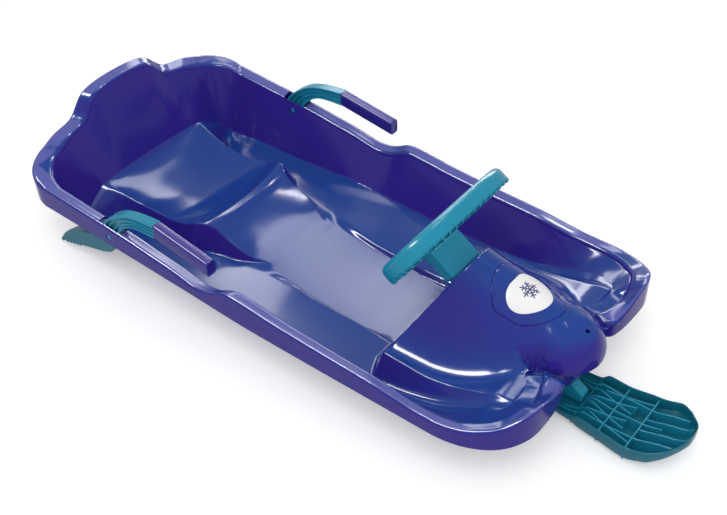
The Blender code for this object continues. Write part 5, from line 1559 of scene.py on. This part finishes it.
@dataclass(frozen=True)
class Studio:
    """Floor, soft lights, world and the camera at the photograph's angle."""

    camera_at: tuple[float, float, float] = (-1.0026, -0.8366, 1.2630)
    camera_right: tuple[float, float, float] = (0.6231, -0.7817, -0.0273)
    camera_down: tuple[float, float, float] = (-0.5385, -0.4034, -0.7399)
    camera_ahead: tuple[float, float, float] = (0.5674, 0.4757, -0.6722)
    lens: float = 51.03
    sensor: float = 36.0
    floor_half: float = 12.0
    floor_lift: float = 0.30
    room_light: float = 0.72
    aim: tuple[float, float, float] = (0.0, 0.0, 0.1)

    def camera(self) -> None:
        """Place the camera whose axes were solved from the photograph."""
        data = bpy.data.cameras.new("photo_view")
        data.lens, data.sensor_width, data.sensor_fit = self.lens, self.sensor, "HORIZONTAL"
        data.clip_start, data.clip_end = 0.05, 60.0
        made = new_object("photo_view", data)
        up, back = -Vector(self.camera_down), -Vector(self.camera_ahead)
        place = Vector(self.camera_at) + Vector((0, LENGTH_SHIFT, 0))
        made.matrix_world = stand(self.camera_right, up, back, place)
        bpy.context.scene.camera = made

    def lamp(self, name: str, at: tuple[float, float, float], long: tuple[float, float, float],
             size: tuple[float, float], power: float, sheen: bool = True) -> None:
        """Add one rectangular soft light that faces the sled.

        Args:
            name: its name.
            at: its place.
            long: direction of its long side.
            size: width and length.
            power: power in watts.
            sheen: whether it shows in reflections only, as a card does, and leaves the level of light alone.
                A lamp without sheen gives light and doesn't show in reflections.
        """
        data = bpy.data.lights.new(name, "AREA")
        data.shape, data.size, data.size_y, data.energy = "RECTANGLE", size[0], size[1], power
        made = new_object(name, data)
        back = (Vector(at) - Vector(self.aim)).normalized()
        across = Vector(long).cross(back).normalized()
        made.matrix_world = stand(across, back.cross(across), back, at)
        made.visible_diffuse, made.visible_glossy = not sheen, sheen

    def floor(self) -> None:
        """Add the plain pale floor."""
        half = self.floor_half
        points = np.array(((-half, -half, 0), (half, -half, 0), (half, half, 0), (-half, half, 0)))
        mesh = build_mesh("floor", points, np.array([[0, 1, 2, 3]]), outward=False)
        made = new_object("floor", mesh)
        material = bpy.data.materials.new("pale_floor")
        material.use_nodes = True
        shader = material.node_tree.nodes["Principled BSDF"]
        shader.inputs["Roughness"].default_value = 0.9
        shader.inputs["Specular IOR Level"].default_value = 0.0
        tree = material.node_tree
        path = tree.nodes.new("ShaderNodeLightPath")
        seen = math_step(tree, "MAXIMUM", path.outputs["Is Camera Ray"], path.outputs["Is Glossy Ray"])
        seen = math_step(tree, "MAXIMUM", seen, path.outputs["Is Transmission Ray"])
        colour = mix_step(tree, seen, (0.62, 0.62, 0.64, 1.0), (0.98, 0.98, 0.98, 1.0))
        lift = math_step(tree, "MULTIPLY", path.outputs["Is Camera Ray"], self.floor_lift)
        shader.inputs["Emission Color"].default_value = (1.0, 1.0, 1.0, 1.0)
        link_nodes(tree, (colour, shader.inputs["Base Color"]), (lift, shader.inputs["Emission Strength"]))
        mesh.materials.append(material)

    def world(self) -> None:
        """Fill the room with even light, and show white to the camera."""
        world = bpy.data.worlds.new("studio")
        world.use_nodes = True
        tree = world.node_tree
        ground = tree.nodes["Background"]
        ground.inputs["Color"].default_value = (1.0, 1.0, 1.0, 1.0)
        ground.inputs["Strength"].default_value = self.room_light
        bright, path, mix = new_nodes(tree, "Background", "LightPath", "MixShader")
        bright.inputs["Strength"].default_value = 1.0
        link_nodes(tree, (path.outputs["Is Camera Ray"], mix.inputs["Fac"]),
                   (ground.outputs[0], mix.inputs[1]), (bright.outputs[0], mix.inputs[2]),
                   (mix.outputs[0], tree.nodes["World Output"].inputs["Surface"]))
        bpy.context.scene.world = world

    def build(self) -> None:
        """Set the whole stage and the plain view transform."""
        self.floor()
        self.world()
        self.lamp("glow", (1.70, 1.59, 1.91), (0.0, 0.72, -0.69), (0.42, 2.4), 38.0)
        self.lamp("edge_card", (-0.95, 1.33, 2.66), (0.0, 1.0, 0.0), (0.45, 1.5), 165.0)
        self.lamp("low_card", (2.26, 1.24, 0.80), (-0.48, 0.87, 0.0), (0.6, 1.6), 36.0)
        self.lamp("bonnet_strip", (0.93, 0.16, 2.90), (0.0, 1.0, 0.0), (0.12, 0.5), 20.0)
        self.lamp("key", (-1.3, -0.9, 2.6), (0.0, 1.0, 0.0), (1.6, 1.6), 22.0, sheen=False)
        self.camera()
        bpy.context.scene.view_settings.view_transform = "Standard"


@dataclass
class SnowBob:
    """The whole sled, built sub-assembly by sub-assembly."""

    finishes: dict[Slot, bpy.types.Material] = field(default_factory=dict)
    # painted shade: a darker copy of the teal finish for parts that stand in shade
    shaded_teal: bpy.types.Material | None = None

    def dress(self) -> None:
        """Make the finishes and give the carried-over nodes theirs."""
        tone, grain = tone_group(), grain_group()
        table = {
            Slot.TUB: Finish("indigo_moulding", (0.028, 0.020, 0.270), (0.036, 0.018, 0.270), 0.15, 0.03,
                             specular=0.22),
            Slot.GRIP: Finish("grip_moulding", (0.030, 0.020, 0.260), (0.026, 0.018, 0.230), 0.30,
                              specular=0.35),
            Slot.TEAL: Finish("teal_moulding", (0.015, 0.290, 0.440), (0.012, 0.260, 0.400), 0.24,
                              specular=0.22),
            Slot.BADGE: Finish("badge_film", (0.93, 0.93, 0.93), (0.92, 0.92, 0.93), 0.40, relief=0.01),
            Slot.BUSH: Finish("bearing_plastic", (0.70, 0.70, 0.68), (0.66, 0.66, 0.64), 0.45),
            Slot.STEEL: Finish("zinc_plating", (0.60, 0.61, 0.62), (0.52, 0.54, 0.56), 0.34, metallic=1.0),
        }
        self.finishes = {slot: finish.material(tone, grain) for slot, finish in table.items()}
        # painted shade: a darker copy of the teal finish for the ski tray and the claws, which sit in shade
        # below the tub
        shade_copy = Finish("painted_shade_teal", (0.008, 0.165, 0.245), (0.006, 0.150, 0.225), 0.30, specular=0.22)
        self.shaded_teal = shade_copy.material(tone, grain)
        self.paint_tub_light()
        self.draw_snowflake()
        slots = {row["node"]: Slot(row["material_slot"]) for row in frame["record"]["subparts"]}
        for name, node in frame["nodes"].items():
            node.data.materials.clear()
            node.data.materials.append(self.finishes[slots[name]])

    def paint_tub_light(self) -> None:
        """Lead the tub's colour through the group that paints light and sheen by the faces' tilt."""
        tree = self.finishes[Slot.TUB].node_tree
        shader = tree.nodes["Principled BSDF"]
        drift = shader.inputs["Base Color"].links[0].from_socket
        tilt = tree.nodes.new("ShaderNodeGroup")
        tilt.node_tree = painted_light_group()
        # painted light: a lighter blue for faces lit from above, and a paler lavender sheen on the flange
        # that stands for its highlights
        tilt.inputs["Level"].default_value = (0.012, 0.055, 0.300, 1.0)
        tilt.inputs["Flange"].default_value = (0.110, 0.125, 0.420, 1.0)
        link_nodes(tree, (drift, tilt.inputs["Steep"]), (tilt.outputs["Colour"], shader.inputs["Base Color"]))

    def draw_snowflake(self) -> None:
        """Print the snowflake on the badge's film."""
        tree = self.finishes[Slot.BADGE].node_tree
        shader = tree.nodes["Principled BSDF"]
        film = shader.inputs["Base Color"].links[0].from_socket
        hatch, flake = Hatch(), tree.nodes.new("ShaderNodeGroup")
        flake.node_tree = snowflake_group((0.0, hatch.centre_y + LENGTH_SHIFT), *hatch.snowflake)
        printed = mix_step(tree, flake.outputs["Mask"], film, (0.035, 0.040, 0.200, 1.0))
        tree.links.new(printed, shader.inputs["Base Color"])

    def piece(self, name: str, mesh: bpy.types.Mesh, body: Body, slot: Slot, replaces: Sequence[str] = (),
              finish: bpy.types.Material | None = None) -> bpy.types.Object:
        """Add one piece with its slot's finish, or with the one given."""
        return add_piece(name, mesh, body, finish or self.finishes[slot], replaces)

    def tub(self) -> None:
        """Build the shell with its openings, the lid and the badge, and the keels below."""
        shell, hatch = TubShell(), Hatch()
        cutters = [hatch.opening(), *Openings().cutters()]
        mesh = apply_cuts("tub_shell", shell.mesh(), cutters)
        self.piece("tub_shell", mesh, Body.TUB, Slot.TUB, ("tub",))
        under = Understructure()
        add_bevel(self.piece("keels", under.keel_mesh(), Body.TUB, Slot.TUB), 0.0015, 2)
        for number, at in enumerate(under.web_at):
            self.piece("web_%d" % number, under.web_mesh(at), Body.TUB, Slot.TUB)
        self.piece("hatch_lid", hatch.lid_mesh(), Body.TUB, Slot.TUB, ("hatch_cover",))
        self.piece("badge", hatch.badge_mesh(), Body.TUB, Slot.BADGE, ("hatch_badge",))

    def steering(self) -> None:
        """Build the hand wheel, the sleeve and the ski with its mount."""
        wheel, column, ski = HandWheel(), Column(), FrontSki()
        self.piece("wheel_rim", wheel.mesh(), Body.STEERING, Slot.TEAL, ("steering_wheel",))
        add_bevel(self.piece("wheel_hub", wheel.hub_mesh(), Body.STEERING, Slot.TEAL), 0.003)
        add_bevel(self.piece("sleeve", column.mesh(), Body.STEERING, Slot.TEAL, ("column_sleeve",)), 0.004, 4)
        # the ski tray takes the painted-shade copy of the teal
        self.piece("ski_tray", ski.mesh(), Body.STEERING, Slot.TEAL, ("front_ski",), self.shaded_teal)
        self.piece("ski_ribs", ski.rib_mesh(), Body.STEERING, Slot.TEAL)
        self.piece("ski_keel", ski.keel_mesh(), Body.STEERING, Slot.TEAL)
        add_bevel(self.piece("mount", ski.mount_mesh(), Body.STEERING, Slot.TEAL, ("ski_mount",)), 0.0015, 2)

    def brakes(self) -> None:
        """Build both brake levers with their grips and pivots."""
        for side in Side:
            brake = Brake(side)
            word = brake.word
            arm = self.piece("lever_arm_" + word, brake.arm_mesh(), brake.body, Slot.TEAL,
                             ("brake_lever_" + word,))
            add_bevel(arm, 0.0005, 2)
            # the claw takes the painted-shade copy of the teal
            claw = self.piece("lever_claw_" + word, brake.blade_mesh(), brake.body, Slot.TEAL,
                              finish=self.shaded_teal)
            add_bevel(claw, 0.0012, 2)
            self.piece("grip_" + word, brake.grip_mesh(), brake.body, Slot.GRIP, ("brake_grip_" + word,))
            self.piece("pivot_" + word, brake.pin_mesh(), Body.TUB, Slot.TEAL, ("brake_pin_" + word,))


def main() -> None:
    """Build the sled and its stage."""
    logging.basicConfig(level=logging.INFO, format="%(name)s %(message)s")
    bob = SnowBob()
    bob.dress()
    bob.tub()
    bob.steering()
    bob.brakes()
    Studio().build()


if __name__ == "__main__":
    main()
